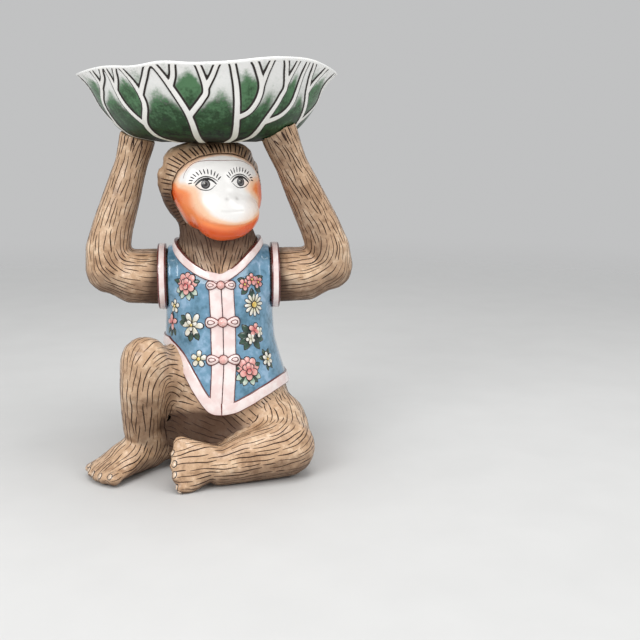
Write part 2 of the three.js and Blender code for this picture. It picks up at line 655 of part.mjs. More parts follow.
// Left leg: folded flat, shin across the front and the foot on its edge
function makeLeftLeg() {
  const hip = [HIP_HALF_WIDTH * 0.46, 0, HIP_HEIGHT - 4];
  const knee = [LEFT_KNEE.out, -LEFT_KNEE.forward, FOLDED_KNEE_RADIUS - SETTLE];
  const ankle = [LEFT_ANKLE.out, -LEFT_ANKLE.forward, LEFT_ANKLE.height];
  const toes = [LEFT_TOES.out, -LEFT_TOES.forward, LEFT_TOES.height];
  const thigh = [
    round(hip, THIGH_RADIUS + 3),
    round(between(hip, knee, 0.6, [1, 8, 4]), THIGH_RADIUS + 1),
    round(between(hip, knee, 0.95), FOLDED_KNEE_RADIUS - 2),
  ];
  const calf = [1, 2, 3].map((k) => {
    const radius = FOLDED_KNEE_RADIUS + (ANKLE_RADIUS - FOLDED_KNEE_RADIUS) * (0.29 * k);
    const at = between(knee, ankle, 0.3 * k, [0, -1.5, 0]);
    return round([at[0], at[1], radius - SETTLE], radius);
  });
  const shin = [round(knee, FOLDED_KNEE_RADIUS), ...calf, round(ankle, ANKLE_RADIUS - 1)];
  const foot = [
    { at: between(ankle, toes, -0.15), wide: ANKLE_RADIUS - 1, deep: ANKLE_RADIUS - 2 },
    { at: between(ankle, toes, 0.3), wide: ANKLE_RADIUS + 3.5, deep: ANKLE_RADIUS - 2.5 },
    { at: between(ankle, toes, 0.7), wide: FOOT_HALF_WIDTH - 1, deep: 10 },
    { at: toes, wide: FOOT_HALF_WIDTH, deep: RIGHT_TOES.height + 0.5 },
  ];
  return makeLeg(thigh, shin, foot, new THREE.Vector3(0, 0.5, 0.866), FOLDED_KNEE_RADIUS, UP);
}

// Thigh, shin and foot as one hollow casting, cut flat where it stands and open at the hip
function makeLeg(thigh, shin, foot, toBigToe, kneeRadius, across) {
  const kneeDome = kneeRadius * 0.95;
  const thighDomes = [0, kneeRadius * 0.6];
  const flesh = join(
    loft(thigh, across, { domes: thighDomes }),
    loft(shin, across, { steps: 1, domes: [kneeDome, ANKLE_RADIUS * 0.5] }),
    footForm(foot, toBigToe),
  );
  const inside = { grow: -WALL, sides: 8, steps: 1 };
  const hollow = join(
    loft(thigh, across, { ...inside, domes: thighDomes }),
    loft(shin.slice(0, 4), across, { ...inside, domes: [kneeDome, ANKLE_RADIUS] }),
  );
  return flesh.subtract(hollow).intersect(aboveBase).subtract(trunkRoom).subtract(vestRoom);
}

// Glazes
function glaze(color, roughness = 0.22) {
  return new THREE.MeshStandardMaterial({ color, roughness, metalness: 0 });
}
const furGlaze = glaze(0xb59a80, 0.35);
const faceGlaze = glaze(0xf3ece6);
const vestGlaze = glaze(0x6d93b5);
const trimGlaze = glaze(0xf0cfcb);
const buttonGlaze = glaze(0xe9a79b);
const leafGlaze = glaze(0x5d8a6c);

const figure = new THREE.Group();
const head = new THREE.Group();
head.position.copy(headCentre);
head.rotation.copy(headTurn);
figure.add(head);

function place(name, made, material, parent = figure) {
  const mesh = new THREE.Mesh(geometryOf(made), material);
  mesh.name = name;
  parent.add(mesh);
}

const firstFrog = NECK_HEIGHT - NECKLINE_DROP - FROG_TOP_DROP;
const frogs = ['top', 'middle', 'bottom'].map((level, k) => [level, firstFrog - k * FROG_SPACING]);

place('trunk', makeTrunk(), furGlaze);
place('vest', makeVest(), vestGlaze);
place('neck_band', makeNeckBand(), trimGlaze);
place('hem_band', makeHemBand(), trimGlaze);
for (const [side, sign] of [['right', -1], ['left', 1]]) {
  place(`${side}_front_band`, makeFrontBand(sign), trimGlaze);
  place(`${side}_armhole_band`, makeArmholeBand(sign), trimGlaze);
  for (const [level, height] of frogs) {
    place(`${level}_frog_${side}_loop`, frogLoop(sign, height), trimGlaze);
  }
}
for (const [level, height] of frogs) {
  place(`${level}_frog_button`, frogButton(height), buttonGlaze);
}
place('head_hood', makeHood(), furGlaze, head);
place('face', makeFace(), faceGlaze, head);
place('right_arm', makeArm(-1, ELBOW_RIGHT_OUT, RIGHT_HAND), furGlaze);
place('left_arm', makeArm(1, ELBOW_LEFT_OUT, LEFT_HAND), furGlaze);
place('right_leg', makeRightLeg(), furGlaze);
place('left_leg', makeLeftLeg(), furGlaze);
place('leaf_bowl', makeBowl(), leafGlaze);

// Stand the figure on the base plane with its box centred on the origin
figure.updateMatrixWorld(true);
const box = new THREE.Box3().setFromObject(figure, true);
const centre = box.getCenter(new THREE.Vector3());
const part = new THREE.Group();
figure.position.set(-centre.x, -centre.y, -box.min.z);
part.add(figure);

export default part;
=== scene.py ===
import math
import random

import bmesh
import bpy
import numpy as np
from mathutils import Euler, Matrix, Vector
from mathutils.bvhtree import BVHTree
from mathutils.kdtree import KDTree


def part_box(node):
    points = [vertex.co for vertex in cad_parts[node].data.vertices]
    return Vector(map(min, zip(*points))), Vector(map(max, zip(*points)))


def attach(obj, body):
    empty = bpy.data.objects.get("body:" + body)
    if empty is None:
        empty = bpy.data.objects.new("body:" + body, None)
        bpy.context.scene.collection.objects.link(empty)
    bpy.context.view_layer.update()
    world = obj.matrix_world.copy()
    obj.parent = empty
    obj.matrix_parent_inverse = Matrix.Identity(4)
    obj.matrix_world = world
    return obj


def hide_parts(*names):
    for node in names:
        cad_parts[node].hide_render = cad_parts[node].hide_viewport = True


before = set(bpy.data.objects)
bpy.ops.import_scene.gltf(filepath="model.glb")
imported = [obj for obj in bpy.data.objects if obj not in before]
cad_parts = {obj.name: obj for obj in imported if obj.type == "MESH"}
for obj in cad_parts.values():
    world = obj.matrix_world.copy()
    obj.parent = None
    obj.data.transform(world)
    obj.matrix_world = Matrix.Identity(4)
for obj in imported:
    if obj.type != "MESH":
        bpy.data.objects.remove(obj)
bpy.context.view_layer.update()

# The looks of a glazed ceramic monkey that carries a leaf bowl on its head and hands.
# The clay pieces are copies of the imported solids, softened as wet clay is. Brush strokes, petals,
# eyes and nails are thin raised glaze that lies on the clay. Lengths are millimetres on the figure,
# with x to the right of the picture, y away from it and z up, and MM turns them into metres.

MM = 0.001


def middle(node):
    low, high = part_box(node)
    return (low + high) / 2


# The upright line through the shoulders, which the figure is drawn about
shoulders = (middle("right_armhole_band") + middle("left_armhole_band")) / 2
AXIS = Vector((shoulders.x, shoulders.y, 0))


def spot(x, y, z):
    """A point of the figure in millimetres, as a place in the frame."""
    return AXIS + Vector((x, y, z)) * MM


# Camera of the picture, 640 pixels square
PICTURE = 640
CAMERA_AT = spot(0, -875, 295)
CAMERA_TURN = Euler((math.radians(78.637), 0, math.radians(-5.661)))
FOCAL_PIXELS = 1030
SENSOR = 36.0
# Depths at which a ray that misses a skin looks for what it passes closest to
PASSING = range(700, 1000, 5)
# Well outside the figure, where rays towards it start
FAR = 200
# The figure's own sides, and their signs along x
SIDES = {"right": -1, "left": 1}

# Head, turned and tilted as one
HEAD_AT = spot(-5.5, -10, 234)
HEAD_YAW = math.radians(15)
HEAD_ROLL = math.radians(-4)
HEAD_TURN = Matrix.Rotation(HEAD_YAW, 3, "Z") @ Matrix.Rotation(HEAD_ROLL, 3, "Y")
FACE_HALF = 37
FACE_TOP = 29
FACE_CHIN = 42
# Shares by which the jaw is narrower on the figure's right and fuller on its left
CHEEK_TUCK = 0.2
CHEEK_FULL = 0.05
# Share by which the hood is wider level with the crown
CROWN_FULL = 0.55

# Leaf bowl
BOWL_AT = spot(-5.5, 0, 272.5)
BOWL_FOOT = 42
BOWL_RIM = 104
BOWL_DEPTH = 55.5
BOWL_WALL = 5.5
RIM_WALL = 2.4
BOWL_STEPS = 540
BOWL_LOBES = 7
LOBE_DEPTH = 0.02
LOBE_START = 1.5
RIM_WAVE = 1
RIM_DROOP = 3
RIM_CREST = 5
CREST_TURN = math.radians(-40)
# Ruffles of the rim in front as (degrees round the bowl, spread, height)
RIM_RUFFLES = [(-109, 9, 2.6), (-65, 16, 4.6)]
# Outer side of the leaf as shares of its width and depth, from foot to rim
LEAF_SIDE = [(0, 0), (0.33, 0.07), (0.49, 0.16), (0.62, 0.31), (0.74, 0.51), (0.82, 0.71),
             (0.9, 0.87), (1, 1)]

# Layers on the trunk, as heights above its skin
VEST_TOP = 2.9
BAND_TOP = 4.4
FROG_TOP = 6.5

# Glaze: size of the patches that differ in gloss and of the ripples, and roughness where it is thin
GLOSS_PATCH = 14
RIPPLE = 9
THIN_ROUGH = 0.4
# Outlines end closer to an edge than this, so a place with this mark has none
NO_OUTLINE = 2.0

# Middle lines of the limbs, shoulder to hand and hip to toes
LIMBS = {
    "right_arm": [(-26, 0, 159), (-60, -1, 160), (-86, -3, 164), (-96, -3, 180), (-92, -2, 205),
                  (-62, 0, 288)],
    "left_arm": [(26, 0, 159), (60, -1, 160), (89, -3, 164), (99, -4, 180), (94, -10, 205),
                 (47, -34, 288)],
    "right_leg": [(-25, 4, 44), (-45, -25, 74), (-59, -48, 96), (-65, -54, 84), (-66, -48, 60),
                  (-67, -42, 38), (-64, -38, 22), (-78, -47, 12), (-103, -65, 7)],
    "left_leg": [(28, 0, 38), (44, -26, 36), (56, -54, 27), (48, -66, 23), (25, -71, 21),
                 (-10, -79, 19), (-38, -90, 20)],
}


# Shader sums

def rgb(red, green, blue):
    """A colour as a painter reads it, 0 to 255, in the light that shaders use."""
    def light(value):
        share = value / 255
        return share / 12.92 if share <= 0.04045 else ((share + 0.055) / 1.055) ** 2.4
    return (light(red), light(green), light(blue), 1.0)


class Wire:
    """A shader socket that can stand in a sum."""

    def __init__(self, paint, socket):
        self.paint = paint
        self.socket = socket

    def sum(self, operation, first, second):
        return self.paint.node("ShaderNodeMath", {"operation": operation}, {0: first, 1: second})

    def __add__(self, other):
        return self.sum("ADD", self, other)

    __radd__ = __add__

    def __mul__(self, other):
        return self.sum("MULTIPLY", self, other)

    __rmul__ = __mul__

    def __sub__(self, other):
        return self.sum("SUBTRACT", self, other)

    def __rsub__(self, other):
        return self.sum("SUBTRACT", other, self)

    def __abs__(self):
        return self.sum("ABSOLUTE", self, 0.0)


class Paint:
    """One glaze: a material with a single glossy shader."""

    def __init__(self, name, coat=0.6, shine=0.5):
        self.coat = coat
        self.material = bpy.data.materials.new(name)
        self.material.use_nodes = True
        self.tree = self.material.node_tree
        self.shader = self.tree.nodes["Principled BSDF"]
        self.shader.inputs["Coat Roughness"].default_value = 0.05
        self.shader.inputs["Coat Weight"].default_value = coat
        self.shader.inputs["Specular IOR Level"].default_value = shine

    def node(self, kind, settings=None, inputs=None, output=0):
        made = self.tree.nodes.new(kind)
        for key, value in (settings or {}).items():
            setattr(made, key, value)
        for key, value in (inputs or {}).items():
            if isinstance(value, Wire):
                self.tree.links.new(value.socket, made.inputs[key])
            else:
                made.inputs[key].default_value = value
        return Wire(self, made.outputs[output])

    def mark(self, name):
        """A value that the piece carries at each of its points."""
        return self.node("ShaderNodeAttribute", {"attribute_name": name}, output=2)

    def cloud(self, size, detail=2.0):
        """Soft noise with blots of about that size in millimetres, 0 to 1."""
        place = self.node("ShaderNodeTexCoord", output=3)
        return self.node("ShaderNodeTexNoise", {},
                         {"Vector": place, "Scale": 1 / (size * MM), "Detail": detail})

    def ease(self, value, start, end):
        """0 before start, 1 after end, smooth between; end may come before start."""
        low, high, first, last = (start, end, 0.0, 1.0) if start < end else (end, start, 1.0, 0.0)
        return self.node("ShaderNodeMapRange", {"interpolation_type": "SMOOTHSTEP"},
                         {0: value, 1: low, 2: high, 3: first, 4: last})

    def blend(self, low, high, share):
        return self.node("ShaderNodeMix", {"data_type": "RGBA"}, {0: share, 6: low, 7: high},
                         output=2)

    def ramp(self, value, stops):
        """Colours by value, each stop (value, colour)."""
        colour = stops[0][1]
        for (start, _), (end, following) in zip(stops, stops[1:]):
            colour = self.blend(colour, following, self.ease(value, start, end))
        return colour

    def use(self, socket, value):
        self.tree.links.new(value.socket, self.shader.inputs[socket])

    def fire(self, colour, gloss, spread, ripple=0.12, thin=None):
        """Lays the colour under glaze that ran a little in the kiln, with patchy gloss and a slow
        ripple. Thin is the share by which little glaze ran over a place."""
        rough = gloss + spread * self.cloud(GLOSS_PATCH, 3.0)
        if thin is not None:
            rough += THIN_ROUGH * thin
            self.use("Coat Weight", self.coat - self.coat * thin)
        self.use("Base Color", colour)
        self.use("Roughness", rough)
        self.use("Normal", self.node("ShaderNodeBump", {}, {"Distance": ripple * MM,
                                                            "Height": self.cloud(RIPPLE)}))
        return self


# Glazes

def fur_glaze():
    paint = Paint("fur_brown", 0.3)
    tone = 0.55 * paint.cloud(20, 3.0) + 0.3 * paint.cloud(5, 3.0) + 0.15 * paint.cloud(1.2)
    fur = paint.ramp(tone, [(0.36, rgb(168, 132, 100)), (0.5, rgb(206, 170, 136)),
                            (0.64, rgb(236, 206, 174))])
    # The shade mark turns the fur dark brown: sprayed brown and painted shade
    shade = paint.ease(paint.mark("shade") + 0.3 * (paint.cloud(7, 3.0) - 0.5), 0.1, 0.95)
    return paint.fire(paint.blend(fur, rgb(70, 44, 29), 0.92 * shade), 0.28, 0.16, thin=shade)


def stroke_glaze():
    paint = Paint("brush_brown", 0.15, 0.25)
    return paint.fire(paint.blend(rgb(40, 24, 16), rgb(76, 49, 33), paint.cloud(6)), 0.4, 0.15)


def vest_glaze():
    paint = Paint("vest_blue")
    tone = 0.65 * paint.cloud(17, 4.0) + 0.35 * paint.cloud(4, 3.0)
    blue = paint.ramp(tone, [(0.36, rgb(82, 124, 146)), (0.5, rgb(112, 156, 184)),
                             (0.64, rgb(154, 188, 216))])
    return paint.fire(blue, 0.1, 0.12, 0.2)


def trim_glaze():
    paint = Paint("trim_pink")
    pink = paint.ramp(paint.cloud(8, 3.0), [(0.35, rgb(246, 222, 218)), (0.65, rgb(253, 241, 238))])
    outline = paint.ease(paint.mark("rim") + 0.35 * (paint.cloud(2.5) - 0.5), 1.0, 0.75)
    return paint.fire(paint.blend(pink, rgb(104, 46, 42), outline), 0.12, 0.12)


def button_glaze():
    paint = Paint("button_pink")
    pink = paint.ramp(paint.cloud(3), [(0.35, rgb(240, 180, 172)), (0.65, rgb(248, 214, 208))])
    return paint.fire(pink, 0.12, 0.1)


def face_glaze():
    paint = Paint("face_white", 0.3)
    blush = paint.mark("blush") + 0.12 * (paint.cloud(10, 3.0) - 0.5)
    face = paint.ramp(blush, [(0.02, rgb(249, 247, 244)), (0.34, rgb(253, 208, 172)),
                              (0.64, rgb(250, 144, 82)), (0.97, rgb(230, 92, 30))])
    # Grey in the pressed mouth and nostrils
    face = paint.blend(face, rgb(150, 146, 144), 0.55 * paint.mark("dent_grey"))
    return paint.fire(paint.blend(face, rgb(150, 118, 92), paint.mark("mane")), 0.22, 0.12)


def leaf_glaze():
    paint = Paint("leaf_green", 0.3, 0.2)
    height, vein = paint.mark("height"), paint.mark("vein")
    mottle = 0.6 * paint.cloud(7, 4.0) + 0.4 * paint.cloud(2, 3.0) - 0.5
    green = paint.ramp(height + 1.5 * mottle, [(0.02, rgb(6, 13, 4)), (0.36, rgb(32, 62, 32)),
                                               (0.85, rgb(80, 122, 84))])
    pale = paint.blend(rgb(208, 210, 205), rgb(242, 242, 240), paint.ease(height, 0.5, 0.9))
    cell = paint.blend(pale, green, paint.ease(paint.mark("sponge") + 1.3 * mottle, 0.0, 0.85))
    # Painted grey shade lies beside the raised veins in the pale part, and an inked line runs along
    # each vein below the rim
    vein_shade = paint.ease(vein, 2.4, 0.3) * paint.ease(height, 0.5, 0.7) * paint.ease(height, 0.97, 0.9)
    cell = paint.blend(cell, rgb(112, 122, 112), 0.5 * vein_shade)
    rib = paint.ramp(height + 0.3 * mottle, [(0.1, rgb(206, 206, 192)), (0.6, rgb(242, 241, 237))])
    leaf = paint.blend(cell, rib, paint.ease(vein, 0.1, -0.1))
    ink = paint.ease(abs(vein - 0.35), 0.95, 0.6) * paint.ease(height, 1.0, 0.985)
    leaf = paint.blend(leaf, rgb(34, 27, 22), ink)
    return paint.fire(leaf, 0.16, 0.14, thin=paint.ease(height, 0.6, 0.15))


def enamel(name, base, tip):
    """A petal colour that changes from its base to its tip."""
    paint = Paint(name)
    along = paint.mark("tip") + 0.5 * (paint.cloud(2.5) - 0.5)
    return paint.fire(paint.blend(base, tip, paint.ease(along, 0.15, 0.85)), 0.12, 0.1)


fur_paint = fur_glaze()
stroke_paint = stroke_glaze()
vest_paint = vest_glaze()
trim_paint = trim_glaze()
button_paint = button_glaze()
face_paint = face_glaze()
leaf_paint = leaf_glaze()
ink_paint = enamel("ink", rgb(24, 22, 24), rgb(44, 38, 36))
rust_paint = enamel("rust_line", rgb(120, 40, 34), rgb(92, 36, 32))
white_paint = enamel("petal_white", rgb(214, 208, 178), rgb(243, 241, 233))
pink_paint = enamel("petal_pink", rgb(206, 92, 92), rgb(243, 184, 176))
yellow_paint = enamel("petal_heart", rgb(214, 170, 60), rgb(238, 218, 130))
leaf_dark_paint = enamel("leaf_dark", rgb(26, 44, 38), rgb(58, 88, 70))
leaf_pale_paint = enamel("leaf_pale", rgb(104, 146, 116), rgb(214, 226, 212))
iris_paint = enamel("iris_grey", rgb(72, 71, 73), rgb(112, 110, 111))
nail_paint = enamel("nail_cream", rgb(206, 174, 144), rgb(228, 202, 176))


# Clay

def welded(node):
    """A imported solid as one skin."""
    shape = bmesh.new()
    shape.from_mesh(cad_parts[node].data)
    bmesh.ops.remove_doubles(shape, verts=shape.verts, dist=0.001 * MM)
    return shape


def as_object(shape, name):
    mesh = bpy.data.meshes.new(name)
    shape.to_mesh(mesh)
    shape.free()
    piece = bpy.data.objects.new(name, mesh)
    bpy.context.scene.collection.objects.link(piece)
    return piece


def settle(piece):
    """Makes what the modifiers show the piece's own mesh."""
    graph = bpy.context.evaluated_depsgraph_get()
    mesh = bpy.data.meshes.new_from_object(piece.evaluated_get(graph))
    piece.modifiers.clear()
    piece.data = mesh
    return piece


def rows_of(items, value):
    rows = np.empty(len(items) * 3, np.float32)
    items.foreach_get(value, rows)
    return rows.reshape(-1, 3).astype(float)


def points_of(piece):
    return rows_of(piece.data.vertices, "co")


def normals_of(piece):
    return rows_of(piece.data.vertex_normals, "vector")


def move_points(piece, co):
    piece.data.vertices.foreach_set("co", co.astype(np.float32).ravel())
    piece.data.update()


def keep_mark(piece, name, values):
    layer = piece.data.attributes.get(name) or piece.data.attributes.new(name, "FLOAT", "POINT")
    layer.data.foreach_set("value", np.asarray(values, np.float32))


def skin_of(piece):
    """A tree for finding places on a piece."""
    co = [tuple(p) for p in points_of(piece)]
    return BVHTree.FromPolygons(co, [tuple(f.vertices) for f in piece.data.polygons])


def tree_of(places):
    """A tree for finding the nearest of some places."""
    tree = KDTree(len(places))
    for k, place in enumerate(places):
        tree.insert(place, k)
    tree.balance()
    return tree


def voxels(piece, size):
    grain = piece.modifiers.new("grain", "REMESH")
    grain.mode = "VOXEL"
    grain.voxel_size = size * MM
    return settle(piece)


def rub(piece, passes, soft=None):
    """Rubs the clay smooth, everywhere or by a share for each point."""
    sponge = piece.modifiers.new("sponge", "SMOOTH")
    sponge.factor = 0.5
    sponge.iterations = passes
    if soft is not None:
        group = piece.vertex_groups.new(name="soft")
        for index, share in enumerate(soft):
            group.add([index], float(share), "REPLACE")
        sponge.vertex_group = "soft"
    settle(piece)
    piece.vertex_groups.clear()
    return piece


def finer(piece):
    round_out = piece.modifiers.new("finer", "SUBSURF")
    round_out.levels = round_out.render_levels = 1
    return settle(piece)


def soften(shape, name, grain, passes):
    """Smooth clay from a faceted shape."""
    return finer(rub(voxels(as_object(shape, name), grain), passes))


def finish_piece(piece, paint, slot, *nodes):
    piece.data.materials.clear()
    piece.data.materials.append(paint.material)
    piece.data.polygons.foreach_set("use_smooth", [True] * len(piece.data.polygons))
    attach(piece, "root")
    if nodes:
        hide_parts(*nodes)
    return piece


def ease(value, start, end):
    """0 before start, 1 after end, smooth between; end may come before start."""
    share = np.clip((value - start) / (end - start), 0, 1)
    return share * share * (3 - 2 * share)


def curve_through(points, step):
    """Points about step apart on a smooth curve through the given ones."""
    points = np.array(points, float)
    ends = np.vstack([2 * points[0] - points[1], points, 2 * points[-1] - points[-2]])
    made = []
    for k in range(len(points) - 1):
        a, b, c, d = ends[k:k + 4]
        count = max(2, int(np.linalg.norm(c - b) / step))
        for t in np.arange(count) / count:
            bend = 2 * a - 5 * b + 4 * c - d + t * (3 * (b - c) + d - a)
            made.append(b + 0.5 * t * (c - a + t * bend))
    made.append(points[-1])
    return np.array(made)


def seen(pixel, skin):
    """Where a pixel of the picture falls on a skin, and the way the skin faces there."""
    across, down = ((at - PICTURE / 2) / FOCAL_PIXELS for at in pixel)
    ray = (CAMERA_TURN.to_matrix() @ Vector((across, -down, -1))).normalized()
    hit, normal, _, _ = skin.ray_cast(CAMERA_AT, ray)
    if hit is None:
        passing = [skin.find_nearest(CAMERA_AT + ray * far * MM) for far in PASSING]
        hit, normal, _, _ = min(passing, key=lambda found: found[3])
    return hit, normal


def places_of(pixels, skin):
    return [seen(pixel, skin)[0] for pixel in pixels]


# Raised glaze lines

def sweep(paths, closed=False, rims=None):
    """A closed skin from rows of places: each path lists its rows, and each row goes once round the
    section. A rim for each place of the section is kept as a mark."""
    shape = bmesh.new()
    bead = shape.verts.layers.int.new("bead")
    rim = shape.verts.layers.float.new("rim")
    rows = [row for path in paths for row in path]
    for path in paths:
        line = []
        for row in path:
            line.append(shape.verts.new(row[0]))
            line[-1][bead] = len(shape.verts) - 1
        for near, far in zip(line, line[1:] + (line[:1] if closed else [])):
            shape.edges.new((near, far))
    ahead = shape.edges[:]
    for k in [*range(1, len(rows[0])), 0]:
        made = bmesh.ops.extrude_edge_only(shape, edges=ahead)["geom"]
        fresh = {part for part in made if isinstance(part, bmesh.types.BMVert)}
        for vert in fresh:
            vert.co = rows[vert[bead]][k]
            vert[rim] = rims[vert[bead]][k] if rims else 0
        ahead = [part for part in made
                 if isinstance(part, bmesh.types.BMEdge) and fresh.issuperset(part.verts)]
    bmesh.ops.remove_doubles(shape, verts=shape.verts, dist=0.0005 * MM)
    bmesh.ops.holes_fill(shape, edges=shape.edges, sides=len(rows[0]))
    bmesh.ops.recalc_face_normals(shape, faces=shape.faces)
    shape.verts.layers.int.remove(bead)
    return shape


# How deep the edges of a line lie in the clay, and the steps in which a line is drawn
LINE_SUNK = 0.04
LINE_STEP = 0.7


def glaze_lines(name, strokes, paint, slot, proud=0.14):
    """Lines with a low ridge: each stroke is (points, normals, half widths in millimetres)."""
    paths = []
    for points, normals, halves in strokes:
        rows = []
        for k, (point, normal, half) in enumerate(zip(points, normals, halves)):
            way = points[min(k + 1, len(points) - 1)] - points[max(k - 1, 0)]
            aside = normal.cross(way).normalized() * half * MM
            sunk = point - normal * LINE_SUNK * MM
            rows.append((sunk + aside, point + normal * proud * MM, sunk - aside))
        paths.append(rows)
    return finish_piece(as_object(sweep(paths), name), paint, slot)


def brush_shape(count, half):
    """Half widths of a stroke that swells from a point and thins out again."""
    share = np.linspace(0, 1, count)
    return half * (0.3 + 0.7 * np.sin(np.pi * share ** 0.75) ** 0.5)


def line_on(skin, places, half):
    """A brush line on a skin through places."""
    path = curve_through([tuple(p) for p in places], LINE_STEP * MM)
    found = [skin.find_nearest(Vector(p)) for p in path]
    return [f[0] for f in found], [f[1] for f in found], brush_shape(len(found), half)


class Room:
    """Keeps strokes apart."""

    def __init__(self, gap):
        self.gap = gap * MM
        self.taken = {}

    def cell(self, point):
        return tuple(int(math.floor(v / self.gap)) for v in point)

    def crowded(self, point, share=1.0):
        i, j, k = self.cell(point)
        beside = (-1, 0, 1)
        around = ((i + a, j + b, k + c) for a in beside for b in beside for c in beside)
        return any((point - other).length < self.gap * share
                   for cell in around for other in self.taken.get(cell, ()))

    def take(self, points):
        for point in points:
            self.taken.setdefault(self.cell(point), []).append(point)


# Brush strokes: length of a step, sway from step to step, and the share of the gap to another at
# which one stops
STROKE_STEP = 1.6
STROKE_SWAY = 0.12
STROKE_CLOSE = 0.58
# They start at every so many points of a piece, and are left out below this share of their length
START_EVERY = 5
TOO_SHORT = 0.6


def comb(piece, skin, flow, allowed, gap, reach, half, seed):
    """Brush strokes along a flow over a skin, kept a gap apart."""
    chance = random.Random(seed)
    room = Room(gap)
    starts = [Vector(p) for p in points_of(piece)[::START_EVERY]]
    chance.shuffle(starts)
    step = STROKE_STEP * MM
    strokes = []

    def walk(point, normal, way, length, lean, wave):
        """Points and normals from a place on, until the stroke is long enough or meets another."""
        made = []
        while len(made) * step < length:
            heading = Vector(flow(point)) * way
            heading -= normal * heading.dot(normal)
            heading.normalize()
            sway = STROKE_SWAY * math.sin(wave + 0.5 * len(made))
            heading += normal.cross(heading) * (lean + sway)
            point, normal, _, _ = skin.find_nearest(point + heading * step)
            if not allowed(point, normal) or room.crowded(point, STROKE_CLOSE):
                break
            made.append((point, normal))
        return made

    for start in starts:
        if room.crowded(start):
            continue
        point, normal, _, _ = skin.find_nearest(start)
        if not allowed(point, normal):
            continue
        length = chance.uniform(*reach) * MM
        lean, wave = chance.uniform(-0.07, 0.07), chance.uniform(0, 6.28)
        behind, ahead = (walk(point, normal, way, length / 2, lean, wave) for way in (-1, 1))
        made = behind[::-1] + [(point, normal)] + ahead
        if len(made) * step > reach[0] * MM * TOO_SHORT:
            points, normals = zip(*made)
            room.take(points)
            halves = brush_shape(len(points), half * chance.uniform(0.75, 1.25))
            strokes.append((points, normals, halves))
    return strokes


def flow_along(path):
    """The way along a limb near a point, and whether a point is on the limb's outside."""
    spots = curve_through([spot(*p) for p in path], 4 * MM)
    ways = np.gradient(spots, axis=0)
    ways /= np.linalg.norm(ways, axis=1)[:, None]
    reach = 10 * MM

    def flow(point):
        apart = ((spots - np.array(point)) ** 2).sum(1)
        weight = np.exp(-(apart - apart.min()) / (2 * reach * reach))
        return (weight[:, None] * ways).sum(0)

    def outside(point, normal):
        apart = ((spots - np.array(point)) ** 2).sum(1)
        return normal.dot(point - Vector(spots[apart.argmin()])) > 0

    return flow, outside


# Domed glaze shapes

# How far below its middle the ball that a sprig is pressed from is cut off
BALL_CUT = -0.4


class Sprigs:
    """Domed shapes of one colour, pressed from a ball and laid on skins: petals, loops, nails."""

    def __init__(self, name, paint, slot, sides=12):
        self.name, self.paint, self.slot = name, paint, slot
        self.ball = bmesh.new()
        bmesh.ops.create_uvsphere(self.ball, u_segments=sides, v_segments=6, radius=1)
        self.places = []

    def lay(self, skin, at, right, up, long, wide, proud, lift=0.0, taper=0.0, point=0.0):
        """One shape, long along right and wide along up in millimetres, narrowed by taper at its
        start and pointed at its ends by point."""
        for x, y, z in (vert.co for vert in self.ball.verts):
            y *= (1 - taper * (1 - x) / 2) * max(1 - x * x, 0) ** (point / 2)
            ground, normal, _, _ = skin.find_nearest(at + (right * x * long + up * y * wide) * MM)
            self.places.append(ground + normal * (lift + max(z, BALL_CUT) * proud) * MM)

    def done(self, *nodes):
        tips = [(vert.co.x + 1) / 2 for vert in self.ball.verts]
        count = len(self.places) // len(tips)
        piece = as_object(self.ball, self.name)
        row = piece.modifiers.new("row", "ARRAY")
        row.count = count
        row.use_relative_offset = False
        settle(piece)
        move_points(piece, np.array(self.places))
        keep_mark(piece, "tip", tips * count)
        keep_mark(piece, "rim", [NO_OUTLINE] * len(self.places))
        return finish_piece(piece, self.paint, self.slot, *nodes)


def tangents(normal):
    """Right and up over a skin, as seen from outside."""
    right = Vector((0, 0, 1)).cross(normal).normalized()
    return right, normal.cross(right)


# The head's own axes

def head_local(co):
    """Points in the head's own axes, in millimetres: x across, y back, z up."""
    return (co - np.array(HEAD_AT)) @ np.array(HEAD_TURN) / MM


def tuck(piece):
    """Narrows the jaw on the figure's right, and the fur round it."""
    local = head_local(points_of(piece))
    x, y, z = local.T
    edge = np.hypot(x / FACE_HALF, z / FACE_CHIN)
    share = ease(z, 4, -24) * ease(edge, 1.28, 1.02) * ease(y, 20, -5)
    local[:, 0] *= 1 + share * np.where(x < 0, -CHEEK_TUCK, CHEEK_FULL)
    move_points(piece, local @ np.array(HEAD_TURN).T * MM + np.array(HEAD_AT))
    return piece


def fill_crown(piece):
    """Fuller fur beside the crown, moved level and away from the hood's rim."""
    co = points_of(piece)
    x, _, z = head_local(co).T
    edge = np.hypot(x / FACE_HALF, z / FACE_TOP)
    share = CROWN_FULL * np.clip((z - 8) / 30, 0, 1) ** 1.8 * ease(edge, 1.05, 1.3)
    aside = np.array(HEAD_TURN.col[0]) * (1, 1, 0)
    move_points(piece, co + (share * x)[:, None] * aside * MM)
    return piece


# Trunk, which the vest, the limbs and the head are luted to

# A leg's cut end lies this close to the trunk, and runs on into it by this much
CUT_END = 0.9
CUT_RUNS_ON = 8
LIMB_CLAY = {"grain": 1.7, "passes": 12}

trunk_facets = BVHTree.FromBMesh(welded("trunk"))
trunk = soften(welded("trunk"), "trunk_fur", grain=2.8, passes=10)
trunk_skin = skin_of(trunk)
hood = fill_crown(tuck(soften(welded("head_hood"), "head_hood_fur", grain=1.4, passes=10)))
face = rub(voxels(as_object(welded("face"), "face_glazed"), size=1.3), passes=8)
